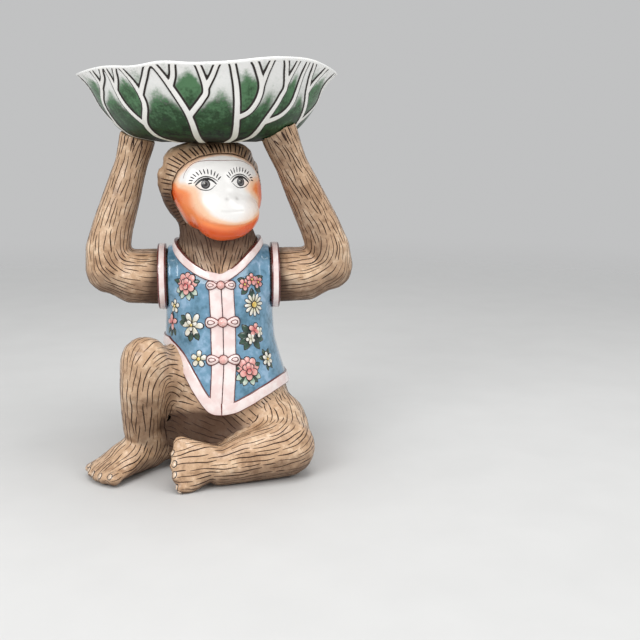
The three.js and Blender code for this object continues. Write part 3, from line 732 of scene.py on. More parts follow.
# The jaw is rubbed most on the figure's right
jaw = head_local(points_of(face))
face = tuck(finer(rub(face, 150, ease(jaw[:, 0], 14, 2) * ease(jaw[:, 2], 4, -6))))
bare_face = skin_of(face)
legs = {}
for leg in ("right_leg", "left_leg"):
    shape = welded(leg)
    for vert in shape.verts:
        _, normal, _, distance = trunk_facets.find_nearest(vert.co)
        if distance < CUT_END * MM:
            vert.co -= normal * CUT_RUNS_ON * MM
    legs[leg] = soften(shape, leg + "_fur", **LIMB_CLAY)


def swell(piece, by):
    push = piece.modifiers.new("swell", "DISPLACE")
    push.mid_level = 0
    push.strength = by * MM
    return settle(piece)


def joined_skin(pieces, fill, grain=2):
    """The skin of pieces as one lump of clay, with its corners filled by slip."""
    lump = bmesh.new()
    for piece in pieces:
        lump.from_mesh(piece.data)
    lump = voxels(swell(voxels(as_object(lump, "lump"), grain), fill), grain)
    lump = finer(rub(swell(lump, -fill), 12))
    skin = skin_of(lump)
    bpy.data.objects.remove(lump)
    return skin


# Reach of the slip about a joint, how deep in the other piece it ends, the share by which a point
# under the slip slides towards the other piece, and the slope at which one dives under the other
SLIP_REACH = 24
SLIP_DEEP = 8
SLIP_SLIDE = 0.65
SLIP_DIVE = 0.4


def melt(piece, lump, own, other, lead, over=0.0):
    """Draws a piece onto the lump's skin, or just over it, close to the other piece that it is
    luted to. Past the middle of the joint, by a lead, it dives under the other."""
    co = points_of(piece)
    for k, point in enumerate(co):
        point = Vector(point)
        foot, normal, _, distance = other.find_nearest(point, SLIP_REACH * MM)
        if foot is None or normal.dot(point - foot) < 0 and distance > SLIP_DEEP * MM:
            continue
        apart = lump.find_nearest(point)[3]
        aim = point + (foot - point) * SLIP_SLIDE * ease(apart / MM, 0, 4)
        place, facing, _, _ = lump.find_nearest(aim)
        past = own.find_nearest(place)[3] - other.find_nearest(place)[3]
        move = place + facing * (over * MM - max(SLIP_DIVE * (past - lead * MM), 0)) - point
        co[k] += np.array(move) * ease(distance / MM, SLIP_REACH, SLIP_REACH / 3)
    move_points(piece, co)


luted = [*legs.values(), hood]
lump_skin = joined_skin([trunk, *luted], fill=5)
luted_skins = [skin_of(piece) for piece in luted]
for piece, skin in zip(luted, luted_skins):
    melt(piece, lump_skin, skin, trunk_skin, lead=2, over=0.15)
for skin in luted_skins:
    melt(trunk, lump_skin, trunk_skin, skin, lead=3)


def meet_face(reach, below):
    """Draws the hood's rim, below a height of the head, onto the face where they stand apart."""
    co = points_of(hood)
    for k in np.flatnonzero(head_local(co)[:, 2] < below):
        point = Vector(co[k])
        foot, normal, _, distance = bare_face.find_nearest(point, reach * MM)
        if foot is not None and normal.dot(point - foot) > 0:
            co[k] += np.array(foot - point) * ease(distance / MM, reach, reach / 3)
    move_points(hood, co)


meet_face(reach=7, below=-6)

# A stroke needs this much room above another piece
STROKE_ROOM = 0.6


def covered(point, skins):
    """Whether a place on one piece lies under another."""
    feet = (skin.find_nearest(point) for skin in skins)
    return any(facing.dot(point - foot) < STROKE_ROOM * MM for foot, facing, _, _ in feet)


def faces_out(point, normal):
    """Whether a place on the trunk faces away from the figure's axis."""
    return normal.dot(Vector((point.x - AXIS.x, point.y - AXIS.y, 0))) > 0


def neighbours_of(name):
    """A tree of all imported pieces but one."""
    whole = bmesh.new()
    for node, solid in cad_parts.items():
        if node != name:
            whole.from_mesh(solid.data)
    tree = BVHTree.FromBMesh(whole)
    whole.free()
    return tree


# Reach of the painted shade beside another piece, and the oval of sprayed brown and painted shade
# between the legs
PAINTED_SHADE_REACH = 16
GROIN_X, GROIN_Z = -16, 34
GROIN_WIDE, GROIN_HIGH = 34, 17


def airbrush_and_painted_shade(piece, node):
    """Painted shade where a piece faces down and beside other pieces, sprayed brown and painted
    shade between the legs, and darker up the neck and low on the hood.
    """
    others = neighbours_of(node)
    co, normals = points_of(piece), normals_of(piece)
    near = np.ones(len(co))
    for k, point in enumerate(co):
        found = others.find_nearest(Vector(point), PAINTED_SHADE_REACH * MM)
        if found[0] is not None:
            near[k] = found[3] / (PAINTED_SHADE_REACH * MM)
    x, y, z = ((co - np.array(AXIS)) / MM).T
    # Painted shade: darker where the surface faces down, as if lit from above
    shade = 0.66 * ease(normals[:, 2], 0.6, -0.7)
    groin = ease(np.hypot((x - GROIN_X) / GROIN_WIDE, (z - GROIN_Z) / GROIN_HIGH), 1.6, 0.6)
    groin = groin * ease(y, -74, -56) * ease(y, 5, -15)
    if node == "trunk":
        shade += 1.2 * groin + 0.5 * ease(z, 164, 178) + 0.35 * ease(z, 182, 202)
    elif node == "head_hood":
        shade += 0.25 * ease(z, 268, 240) + 0.35 * ease(z, 234, 206)
    elif "leg" in node:
        shade += groin * (1 - near) ** 0.7
    else:
        shade += 0.7 * (1 - near) ** 1.6 * ease(z, 262, 225)
    keep_mark(piece, "shade", shade)


airbrush_and_painted_shade(trunk, "trunk")
finish_piece(trunk, fur_paint, "fur_glaze", "trunk")


# Heights on the trunk that bare fur is seen above and below
NECK_FROM = 150
HIPS_TO = 100


def neck_flow(point):
    return Vector((AXIS.x - point.x, 0, -1.6 * abs(AXIS.x - point.x) - 12 * MM))


def hip_flow(point):
    return Vector((1, 0, -0.3 if point.x < AXIS.x else -0.9))


def on_neck(point, normal):
    return point.z > NECK_FROM * MM and faces_out(point, normal)


def on_hips(point, normal):
    below = point.z < HIPS_TO * MM
    return below and faces_out(point, normal) and not covered(point, luted_skins[:len(legs)])


fur_skin = skin_of(trunk)
trunk_strokes = comb(trunk, fur_skin, neck_flow, on_neck,
                     gap=2.3, reach=(9, 20), half=0.6, seed=11)
trunk_strokes += comb(trunk, fur_skin, hip_flow, on_hips,
                      gap=3.4, reach=(10, 30), half=0.56, seed=12)
glaze_lines("trunk_strokes", trunk_strokes, stroke_paint, "fur_glaze")


# Limbs

# Lines between the fingers, as pixels of the picture
FINGER_LINES = {
    "right_arm": [((126, 134), (125, 144)), ((134, 137), (133, 147)), ((142, 140), (141, 148))],
    "left_arm": [((272, 135), (279, 145)), ((280, 130), (286, 141)), ((288, 125), (292, 136))],
}
limb_skins = {}

for limb, path in LIMBS.items():
    piece = legs[limb] if limb in legs else soften(welded(limb), limb + "_fur", **LIMB_CLAY)
    airbrush_and_painted_shade(piece, limb)
    finish_piece(piece, fur_paint, "fur_glaze", limb)
    skin = skin_of(piece)
    limb_skins[limb] = skin
    flow, outside = flow_along(path)
    gap, half = (3.4, 0.58) if limb in legs else (2.9, 0.5)

    def bare(point, normal):
        return outside(point, normal) and not (limb in legs and covered(point, [trunk_skin]))

    seed = len(limb) * 7 + len(path)
    strokes = comb(piece, skin, flow, bare, gap, (16, 44), half, seed)
    for pixels in FINGER_LINES.get(limb, ()):
        strokes.append(line_on(skin, places_of(pixels, skin), 0.85))
    glaze_lines(limb + "_strokes", strokes, stroke_paint, "fur_glaze")


# Toenails

# Nails of the folded foot, as pixels of the picture from big toe to small
FOLDED_FOOT_NAILS = [(172, 453), (174, 464), (174, 475), (174.5, 487), (177.5, 497)]
# Toe tips of the flat foot in millimetres, from small toe to big
FLAT_FOOT_TOES = [(-108, -50, 8), (-111, -57, 9), (-109, -66, 9.5), (-101, -74, 10),
                  (-91, -80, 10.5)]
NAIL_LONG = 2.2
NAIL_WIDE = NAIL_LONG * 1.2
NAIL_RIM = 0.7


def toenails():
    rims = Sprigs("toenail_rims", ink_paint, "fur_glaze")
    nails = Sprigs("toenails", nail_paint, "face_glaze")
    folded, flat = limb_skins["left_leg"], limb_skins["right_leg"]
    places = [(folded, *seen(pixel, folded)) for pixel in FOLDED_FOOT_NAILS]
    places += [(flat, *flat.find_nearest(spot(*toe))[:2]) for toe in FLAT_FOOT_TOES]
    for skin, at, normal in places:
        right, up = tangents(normal)
        rims.lay(skin, at, right, up, NAIL_LONG + NAIL_RIM, NAIL_WIDE + NAIL_RIM, proud=0.25)
        nails.lay(skin, at, right, up, NAIL_LONG, NAIL_WIDE, proud=0.4)
    rims.done()
    nails.done()


toenails()


# Vest and what is sprigged on it

def reseat(piece):
    """Moves a piece from the faceted trunk onto the smooth one."""
    co = points_of(piece)
    for k, point in enumerate(co):
        on_facets = trunk_facets.find_nearest(Vector(point))[0]
        co[k] += np.array(trunk_skin.find_nearest(on_facets)[0] - on_facets)
    move_points(piece, co)


def on_vest(place):
    """The vest's outside over a place on the trunk, or where it would be beyond its edges."""
    ground, normal, _, _ = trunk_skin.find_nearest(place)
    return ground + normal * VEST_TOP * MM, normal


def on_trunk(x, z, front=True):
    """The trunk's front or back at a width and a height, or the nearest place past its sides."""
    side = -1 if front else 1
    hit = trunk_skin.ray_cast(spot(x, FAR * side, z), Vector((0, -side, 0)))[0]
    return hit or trunk_skin.find_nearest(spot(x, 14 * side, z))[0]


def about_trunk(turn, z):
    """A place on the trunk at a turn in degrees from the left, and a height."""
    way = Vector((math.cos(math.radians(turn)), math.sin(math.radians(turn)), 0))
    return trunk_skin.ray_cast(spot(*(way * FAR)[:2], z), -way)[0]


# Middle lines of the bands: the neck's as (turn, height), from the front round the figure's right
# side, and the hem's as (width, height), the front from right to left, then the back
NECK_LINE = [(-90, 161.9), (-105, 164.4), (-121, 169.4), (-138, 175.9), (-160, 183.6), (180, 187.2),
             (155, 185.8), (130, 182.6), (110, 180.4), (90, 179.5), (70, 180.4), (50, 182.8),
             (25, 186.6), (0, 188.6), (-26, 185.6), (-50, 177), (-66, 169.3), (-82, 163)]
HEM_FRONT = [(-40, 106.5), (-33, 99.5), (-27.5, 91), (-22, 80.5), (-16.5, 70.5), (-11, 62.3),
             (-6, 57.6), (0, 56.8), (5, 57.2), (12, 58.8), (20.5, 62.4), (33.5, 68), (47, 71.8)]
HEM_BACK = [(54, 70), (40, 72.5), (20, 73.5), (0, 73.5), (-20, 79.5), (-36, 95.5), (-43, 104.5)]
NECK_LOOP = [about_trunk(*p) for p in NECK_LINE]
HEM_LOOP = [on_trunk(*p) for p in HEM_FRONT] + [on_trunk(*p, front=False) for p in HEM_BACK]


def band_path(places, closed):
    """Places along a band and the ways along it there."""
    path = curve_through([*places, places[0]] if closed else places, 1.5 * MM)
    if not closed:
        return path, np.gradient(path, axis=0)
    path = path[:-1]
    return path, np.roll(path, -1, axis=0) - np.roll(path, 1, axis=0)


# How far past a band the vest's edge is drawn back
OVERHANG = 14


def trim(piece, loop):
    """Draws what hangs over a band's middle line back under it."""
    path, ways = band_path(loop, True)
    tree = tree_of(path)
    normals = [trunk_skin.find_nearest(Vector(place))[1] for place in path]
    co = points_of(piece)
    for k, point in enumerate(co):
        place, index, distance = tree.find(point)
        across = normals[index].cross(Vector(ways[index]))
        if distance < OVERHANG * MM and across.dot(Vector(point) - place) < 0:
            high = min(trunk_skin.find_nearest(Vector(point))[3], VEST_TOP * MM)
            co[k] = place + normals[index] * high
    move_points(piece, co)


vest = voxels(as_object(welded("vest"), "vest_cloth"), size=1.1)
reseat(vest)
# The caps over the shoulders are rubbed most
across, _, up = ((points_of(vest) - np.array(AXIS)) / MM).T
rub(vest, 24, 0.12 + 0.88 * (ease(np.abs(across), 34, 38) * ease(up, 122, 128)))
trim(vest, NECK_LOOP)
trim(vest, HEM_LOOP)
finish_piece(vest, vest_paint, "vest_glaze", "vest")
vest_skin = skin_of(vest)


# Section of a band as shares of its half width and of its thickness
BAND_CROWN = 1.16
BAND_SECTION = [(-1, -2.3), (-1, 0.35), (-0.94, 0.8), (-0.8, 1), (-0.4, 1.12), (0, BAND_CROWN),
                (0.4, 1.12), (0.8, 1), (0.94, 0.8), (1, 0.35), (1, -2.3), (0, -2.3)]
BAND_THICK = BAND_TOP - VEST_TOP - 0.3
# Half widths of the bands, how far the front bands lie off the seam and at which heights, and how
# far from the axis they lie under the other bands
NECK_HALF = 3.7
HEM_HALF = 4.9
FRONT_HALF = 4.85
FRONT_BAND_AT = 4.9
FRONT_HEIGHTS = (160, 145, 128, 110, 92, 74, 58)
FRONT_COVERED = 9.4
# By how much an outline is finer on the side where two bands meet
FINER_LINE = 0.55


def ribbon(name, places, half, thick, closed, node, merged=0, fine=0):
    """A rounded flat band on the vest through places, which carries the distance from its edges.
    Where it runs over the front bands, closer to the axis than merged, its upper edge is plain.
    The outline of its fine side is thinner."""
    path, ways = band_path(places, closed)
    rows, rims = [], []
    for place, way in zip(path, ways):
        _, normal = on_vest(Vector(place))
        across = normal.cross(Vector(way)).normalized()
        row, rim = [], []
        for aside, high in BAND_SECTION:
            ground, facing = on_vest(Vector(place) + across * aside * half * MM)
            row.append(ground + facing * high * thick * MM)
            in_front = abs(ground.x - AXIS.x) < merged * MM and ground.y < AXIS.y
            inset = half * (1 - abs(aside)) + (FINER_LINE if aside * fine > 0 else 0)
            rim.append(NO_OUTLINE if in_front and across.z * aside > 0 else inset)
        rows.append(row)
        rims.append(rim)
    piece = as_object(sweep([rows], closed, rims), name)
    return finish_piece(piece, trim_paint, "trim_glaze", node)


def seam_at(z):
    """How far the front's seam lies to the left of the axis."""
    return 2.3 * ease(z, 56, 92) - 1.0 * ease(z, 128, 160)


def trim_bands():
    for node, loop, half in (("neck_band", NECK_LOOP, NECK_HALF), ("hem_band", HEM_LOOP, HEM_HALF)):
        ribbon(node + "_glazed", loop, half, BAND_THICK, True, node, merged=FRONT_COVERED)
    for side, sign in SIDES.items():
        node = f"{side}_front_band"
        line = [on_trunk(seam_at(z) + sign * FRONT_BAND_AT, z) for z in FRONT_HEIGHTS]
        ribbon(node + "_glazed", line, FRONT_HALF, BAND_THICK - 0.2, False, node, fine=-sign)
    seam = [trunk_skin.find_nearest(on_trunk(0, z))[:2] for z in np.linspace(62.5, 52.5, 10)]
    tops = [at + normal * (VEST_TOP + BAND_CROWN * BAND_THICK) * MM for at, normal in seam]
    line = (tops, [normal for _, normal in seam], brush_shape(len(seam), 0.6))
    glaze_lines("hem_seam", [line], rust_paint, "trim_glaze")


trim_bands()


# Radii of the armhole bands, the round of their edges and the outline there
ARMHOLE_INNER = 23.6
ARMHOLE_OUTER = 28.1
EDGE_ROUND = 1.1
EDGE_OUTLINE = 0.5


def armhole_band(side):
    """A rounded band turned about the arm's line."""
    node = f"{side}_armhole_band"
    low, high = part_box(node)
    inner, outer, wide = ARMHOLE_INNER, ARMHOLE_OUTER, (high.x - low.x) / MM
    section = [(inner, 0), (outer - EDGE_ROUND, 0), (outer - 0.3, 0.3), (outer, EDGE_ROUND),
               (outer + 0.35, wide / 2), (outer, wide - EDGE_ROUND), (outer - 0.3, wide - 0.3),
               (outer - EDGE_ROUND, wide), (inner, wide)]
    shape = bmesh.new()
    rim = shape.verts.layers.float.new("rim")
    ring = []
    for radius, along in section:
        vert = shape.verts.new((low.x + along * MM, shoulders.y, shoulders.z + radius * MM))
        vert[rim] = min(along, wide - along) - EDGE_OUTLINE if radius > outer - 1 else 0.0
        ring.append(vert)
    for k, vert in enumerate(ring):
        shape.edges.new((vert, ring[(k + 1) % len(ring)]))
    bmesh.ops.spin(shape, geom=shape.verts[:] + shape.edges[:], cent=shoulders, axis=(1, 0, 0),
                   angle=2 * math.pi, steps=128, use_merge=True)
    bmesh.ops.remove_doubles(shape, verts=shape.verts, dist=0.01 * MM)
    bmesh.ops.recalc_face_normals(shape, faces=shape.faces)
    piece = finer(as_object(shape, node + "_glazed"))
    return finish_piece(piece, trim_paint, "trim_glaze", node)


for side in SIDES:
    armhole_band(side)

# Half lengths of the frogs' loops from the top one down, their narrowing towards the button, the
# outline round them, and the height and narrowing of their eyes
LOOP_HALF = {"top": 4.4, "middle": 5.6, "bottom": 5.4}
LOOP_TAPER = 0.55
LOOP_LINE = 0.75
LOOP_EYE = (FROG_TOP - 0.3, 0.4)


def frog_closures():
    """Teardrop loops with an almond eye each side of a button, outlined in rust."""
    lines = Sprigs("frog_outlines", rust_paint, "button_glaze", 24)
    eyes = Sprigs("frog_eyes", trim_paint, "trim_glaze", 16)
    for level, half in LOOP_HALF.items():
        place = middle(f"{level}_frog_button")
        heart, normal = on_vest(place + Vector((seam_at(place.z / MM) * MM, 0, 0)))
        right, up = tangents(normal)
        for side, sign in SIDES.items():
            node = f"{level}_frog_{side}_loop"
            out = right * sign
            at = heart + out * (half + 3) * MM
            loop = Sprigs(node + "_glazed", trim_paint, "trim_glaze", 24)
            loop.lay(trunk_skin, at, out, up, half, half, FROG_TOP - BAND_TOP, BAND_TOP, LOOP_TAPER)
            loop.done(node)
            edge = half + LOOP_LINE
            lines.lay(trunk_skin, at, out, up, edge, edge, 1.0, BAND_TOP, LOOP_TAPER)
            at += out * 0.5 * MM
            lines.lay(trunk_skin, at, out, up, half * 0.58, half * 0.46, 0.4, *LOOP_EYE)
            eyes.lay(trunk_skin, at, out, up, half * 0.46, half * 0.34, 0.6, *LOOP_EYE)
        node = f"{level}_frog_button"
        edge = half * 0.6 + 1.1
        lines.lay(trunk_skin, heart, right, up, edge, edge, 1.6, BAND_TOP)
        button = Sprigs(node + "_glazed", button_paint, "button_glaze", 24)
        edge = half * 0.6 + 0.4
        button.lay(trunk_skin, heart, right, up, edge, edge, 4.0, BAND_TOP)
        button.done(node)
    lines.done()
    eyes.done()


frog_closures()


# Flowers on the vest

# How far the ink shows round a petal
PETAL_LINE = 0.55


def beside(stem, aside, high):
    """The stem of a bloom beside another one, by shares of the flower's size."""
    at, normal, size = stem
    right, up = tangents(normal)
    return at + (right * aside + up * high) * size * MM, normal, size


class Bouquet:
    """Petals, hearts and leaves of all flowers, each colour one piece, with ink under each shape.
    A stem is (place, normal, size), and what grows on it is given in shares of the size."""

    def __init__(self):
        self.ink = Sprigs("flower_ink", ink_paint, "vest_glaze")
        paints = {"white": white_paint, "pink": pink_paint, "heart": yellow_paint,
                  "leaf": leaf_dark_paint, "pale": leaf_pale_paint}
        self.colours = {name: Sprigs("flower_" + name, paint, "trim_glaze")
                        for name, paint in paints.items()}

    def shape(self, colour, stem, turn, reach, long, wide, lift=0.0, taper=0.5, point=0.0):
        """One petal or leaf whose middle lies at a reach from the stem, turned by degrees from the
        right."""
        at, normal, size = stem
        long, wide = size * long, size * wide
        right, up = tangents(normal)
        angle = math.radians(turn)
        along = right * math.cos(angle) + up * math.sin(angle)
        aside = up * math.cos(angle) - right * math.sin(angle)
        place = at + along * (size * reach) * MM
        for sprigs, line, proud in ((self.ink, PETAL_LINE, 0.28), (self.colours[colour], 0, 0.5)):
            sprigs.lay(vest_skin, place, along, aside, long + line, wide + line, proud, lift, taper,
                       point)

    def ring(self, colour, stem, count, reach, long, wide, start=90.0, lift=0.0, over=0.4):
        """Petals round the stem, every second one laid over its neighbours."""
        for k in range(count):
            turn = start + 360 * k / count
            self.shape(colour, stem, turn, reach, long, wide, lift + over * (k % 2))

    def heart(self, stem, radius, lift=0.5):
        self.shape("heart", stem, 0, 0, radius, radius, lift, 0.0)

    def leaves(self, stem, turns, reach, long, wide, colour="leaf"):
        for turn in turns:
            self.shape(colour, stem, turn, reach, long, wide, taper=0.1, point=0.9)

    def fan(self, colour, stem, turns, reach, long, wide, lift=0.0):
        """Petals at the given turns, every second one laid over its neighbours."""
        for k, turn in enumerate(turns):
            self.shape(colour, stem, turn, reach, long, wide, lift + 0.35 * (k % 2), 0.45)

    def peony(self, stem):
        self.leaves(stem, (-150, -115, -75, -35), 0.42, 0.2, 0.13, "pale")
        self.leaves(stem, (-130, -55, 20, 165), 0.42, 0.18, 0.1)
        self.fan("pink", stem, (165, 127, 90, 53, 15), 0.27, 0.24, 0.19)
        self.fan("pink", stem, (205, -25, -90), 0.2, 0.2, 0.17, 0.5)
        self.fan("pink", stem, (140, 90, 40), 0.1, 0.17, 0.13, 0.9)
        self.shape("pink", stem, -90, 0.06, 0.11, 0.11, 1.6, 0.2)

    def daisy(self, stem):
        self.ring("white", stem, 12, 0.33, 0.19, 0.095, over=0.2)
        self.heart(stem, 0.14)

    def plum(self, stem):
        self.ring("white", stem, 5, 0.29, 0.22, 0.2, over=0.2)
        self.heart(stem, 0.12)

    def bud(self, stem):
        self.leaves(stem, (-60, -90, -120), 0.5, 0.2, 0.1)
        self.ring("pink", stem, 4, 0.18, 0.24, 0.15, start=100)
        self.shape("pink", stem, 90, 0.12, 0.24, 0.14, 0.8, 0.3)

    def magnolia(self, stem):
        self.leaves(stem, (150, 175, -60, -95), 0.42, 0.2, 0.12)
        self.ring("white", stem, 6, 0.27, 0.22, 0.14, start=60)
        self.ring("white", stem, 3, 0.1, 0.14, 0.1, start=20, lift=0.7)
        self.heart(stem, 0.06, 1.3)

    def cluster(self, stem):
        self.leaves(stem, (-40, -90, -140, 20, 160), 0.36, 0.18, 0.11)
        for k, (aside, high) in enumerate(((-0.27, -0.02), (0.29, 0.0), (0.02, 0.12))):
            bloom = beside(stem, aside, high)
            self.ring("pink", bloom, 5, 0.11, 0.11, 0.1, start=80 + 90 * aside, lift=0.3 * k)
            self.heart(bloom, 0.045, 0.7 + 0.3 * k)

    def group(self, stem):
        self.leaves(stem, (170, 200, 230, -60, -20, 130), 0.32, 0.22, 0.12)
        self.ring("pink", beside(stem, 0.1, 0.2), 4, 0.1, 0.14, 0.11, start=60, lift=0.4)
        for aside, high in ((-0.08, -0.08), (0.3, 0.1)):
            bloom = beside(stem, aside, high)
            self.ring("white", bloom, 5, 0.09, 0.1, 0.08, start=40, lift=0.5)

    def spray(self, stem):
        self.leaves(stem, (-100, -60, 60, 110, 160), 0.36, 0.2, 0.11)
        self.ring("white", stem, 6, 0.2, 0.18, 0.13, lift=0.4)
        self.heart(stem, 0.07, 1.0)

    def done(self):
        self.ink.done()
        for sprigs in self.colours.values():
            sprigs.done()


# Flowers of the front as kind, pixel of the picture and size in millimetres
FRONT_FLOWERS = [
    ("peony", (186.6, 285), 21), ("plum", (175, 306), 11.5), ("bud", (172.5, 321), 18),
    ("magnolia", (192, 325), 22), ("plum", (198.7, 359), 14), ("cluster", (251, 283), 24),
    ("daisy", (254, 304.5), 19), ("group", (252, 336), 25), ("peony", (248.4, 370), 22),
    ("spray", (267, 359), 17),
]
# Flowers of the back as kind, width and height from the axis, and size
BACK_FLOWERS = [
    ("peony", (24, 150), 20), ("daisy", (-22, 148), 16), ("magnolia", (0, 128), 21),
    ("cluster", (-24, 118), 22), ("plum", (26, 122), 13), ("peony", (-4, 96), 21),
    ("group", (30, 96), 22), ("bud", (-30, 132), 12),
]


def flowers():
    bouquet = Bouquet()
    for kind, pixel, size in FRONT_FLOWERS:
        getattr(bouquet, kind)((*seen(pixel, vest_skin), size))
    for kind, (x, z), size in BACK_FLOWERS:
        hit = vest_skin.ray_cast(spot(x, FAR, z), Vector((0, -1, 0)))
        getattr(bouquet, kind)((*hit[:2], size))
    bouquet.done()


flowers()


# Head

airbrush_and_painted_shade(hood, "head_hood")
finish_piece(hood, fur_paint, "fur_glaze", "head_hood")
hood_skin = skin_of(hood)


# The row of strokes that stand out round the face: their number, lengths, half widths and steps,
# the gap in the fur at which one ends, and the tilts in degrees from the front and the distance at
# which they are looked for
HAIRS = 66
HAIR_LENGTH = (12, 18)
HAIR_HALF = (0.7, 0.95)
HAIR_STEP = 0.7
HAIR_GAP = 4
HAIR_TILTS = range(30, 120)
AROUND_HEAD = 120
# How far behind the middle of the head the other strokes start
BEHIND_HAIRS = 2


def in_head(point):
    """A place in the head's own axes."""
    return HEAD_TURN.transposed() @ (point - HEAD_AT)


def hood_flow(point):
    local = in_head(point)
    return HEAD_TURN @ Vector((local.x, max(local.y, -20 * MM) + 30 * MM, local.z))


def hairline():
    """The row of strokes that stand out round the face, each along the outermost fur from where the
    face stops hiding it."""
    chance = random.Random(40)
    for k in range(HAIRS):
        turn = 2 * math.pi * (k + chance.uniform(-0.2, 0.2)) / HAIRS
        length, half = chance.uniform(*HAIR_LENGTH) * MM, chance.uniform(*HAIR_HALF)
        points, normals = [], []
        for tilt in np.radians(HAIR_TILTS):
            aside = math.sin(tilt)
            way = Vector((aside * math.cos(turn), -math.cos(tilt), aside * math.sin(turn)))
            way = HEAD_TURN @ way
            far = HEAD_AT + way * AROUND_HEAD * MM
            place, normal, _, distance = hood_skin.ray_cast(far, -way)
            to_face = bare_face.ray_cast(far, -way)[3]
            if place is None or to_face is not None and to_face < distance:
                continue
            step = (place - points[-1]).length if points else HAIR_STEP * MM
            if step < HAIR_STEP * MM or covered(place, [trunk_skin]):
                continue
            if points and (step > HAIR_GAP * MM or (place - points[0]).length > length):
                break
            points.append(place)
            normals.append(normal)
        if len(points) > 5:
            yield points, normals, brush_shape(len(points), half)


def behind_hairline(point, normal):
    outside = normal.dot(point - HEAD_AT) > 0
    behind = (in_head(point) / MM).y > BEHIND_HAIRS
    return outside and behind and not covered(point, [trunk_skin])


hood_strokes = list(hairline())
hood_strokes += comb(hood, hood_skin, hood_flow, behind_hairline,
                     gap=3.4, reach=(10, 18), half=0.58, seed=41)
glaze_lines("head_hood_strokes", hood_strokes, stroke_paint, "fur_glaze")

# Marks of the face, as pixels of the picture
EYES = {"right": (205.6, 184.3), "left": (240.6, 181.8)}
NOSTRILS = [(226.8, 199), (237.5, 198)]
MOUTH = [(222, 211.5), (232, 211.8), (243, 211)]
CHIN_CREASE = [(204, 222), (218, 226.5), (236, 227.5), (251, 224)]
BROW_LINE = [(183, 179), (186, 171), (193, 163.5), (204, 160.8), (222, 160.5), (241, 161),
             (251, 166)]


def press(piece, places, width, depth):
    """Presses a groove along places and gives the share of it at each point."""
    path = curve_through([tuple(p) for p in places], 0.4 * MM) if len(places) > 1 else places
    tree = tree_of(path)
    co, normals = points_of(piece), normals_of(piece)
    share = np.array([math.exp(-(tree.find(p)[2] / (width * MM)) ** 2) for p in co])
    move_points(piece, co - normals * share[:, None] * depth * MM)
    return share


def face_marks():
    """Presses mouth, nostrils, chin and eye hollows, and marks the grey in the mouth and nostrils
    and what is red or furry.
    """
    dent_grey = 0.3 * press(face, places_of(MOUTH, bare_face), width=0.9, depth=0.3)
    for nostril in NOSTRILS:
        dent_grey += 0.8 * press(face, places_of([nostril], bare_face), width=1.5, depth=0.5)
    press(face, places_of(CHIN_CREASE, bare_face), width=2.2, depth=0.9)
    for eye in EYES.values():
        press(face, places_of([eye], bare_face), width=9, depth=1.2)
    keep_mark(face, "dent_grey", np.clip(dent_grey, 0, 1))

    x, y, z = head_local(points_of(face)).T
    edge = np.hypot(x / FACE_HALF, z / np.where(z > 0, FACE_TOP, FACE_CHIN))
    inset = np.clip(1 - edge, 0, 1) * 40
    chin = ease(z, -15, -32)
    blush = (1 - chin) * np.clip(1 - inset / 24, 0, 1) + chin * np.clip(1.25 - inset / 25, 0, 1)
    muzzle = ease(np.hypot((x - 11) / 23, (z + 14) / 13), 0.7, 1.2)
    blush *= ease(z, 13, -2) * (0.25 + 0.75 * muzzle)
    top_edge = 0.3 * ease(edge, 0.9, 1.0) * ease(z, -5, 8)
    keep_mark(face, "blush", blush + top_edge)
    keep_mark(face, "mane", ease(y, -15, -9))


face_marks()
finish_piece(face, face_paint, "face_glaze", "face")
face_skin = skin_of(face)

# An eye drawn about its iris in millimetres, outer corner to the left
UPPER_LID = [(-8.2, -1.0), (-4.5, 2.7), (0, 4.3), (5, 3.2), (8.8, 0.0)]
LID_CREASE = [(-9.6, 0.5), (-5, 4.6), (0, 6.1), (5.5, 5.0), (9.9, 2.2)]
LOWER_LID = [(-8.2, -1.0), (-4.4, -3.8), (0, -4.7), (4, -4.0), (8.0, -0.6)]
LID_LINES = [(UPPER_LID, 1.15), (LID_CREASE, 0.62), (LOWER_LID, 0.5)]
# Its discs as (paint, radius, height, place); the light is a painted highlight on the pupil
EYE_DISCS = {
    "ring": (ink_paint, 3.7, 0.25, (0, 0)),
    "iris": (iris_paint, 3.0, 0.4, (0, 0)),
    "pupil": (ink_paint, 2.1, 0.55, (0, 0)),
    "light": (white_paint, 0.55, 0.8, (-0.8, 0.9)),
}
# Its lashes fan out between two ovals, from the outer corner by degrees
LASHES = 12
LASH_START = 172
LASH_FAN = 146
LASH_BASE = (10.8, 8.0)
LASH_TIP = (14.6, 12.6)
LASH_LEAN = 0.1


def eyes():
    discs = {name: Sprigs("eye_" + name, disc[0], "face_glaze", 24)
             for name, disc in EYE_DISCS.items()}
    lines = []
    for side, pixel in EYES.items():
        at, normal = seen(pixel, face_skin)
        right, up = tangents(normal)

        def drawn(x, y):
            return at + (right * x * -SIDES[side] + up * y) * MM

        for name, (_, radius, proud, (x, y)) in EYE_DISCS.items():
            place = at + (right * x + up * y) * MM
            discs[name].lay(face_skin, place, right, up, radius, radius, proud)
        for path, half in LID_LINES:
            lines.append(line_on(face_skin, [drawn(*p) for p in path], half))
        for k in range(LASHES):
            angle = math.radians(LASH_START - LASH_FAN * k / (LASHES - 1))
            ends = [drawn(wide * math.cos(angle + lean), high * math.sin(angle + lean))
                    for (wide, high), lean in ((LASH_BASE, 0), (LASH_TIP, LASH_LEAN))]
            lines.append(line_on(face_skin, ends, 0.66))
    for sprigs in discs.values():
        sprigs.done()
    glaze_lines("eye_lines", lines, ink_paint, "face_glaze")
    brow = line_on(face_skin, places_of(BROW_LINE, face_skin), 0.4)
    glaze_lines("brow_line", [brow], rust_paint, "face_glaze", proud=0.08)


eyes()


# Leaf bowl

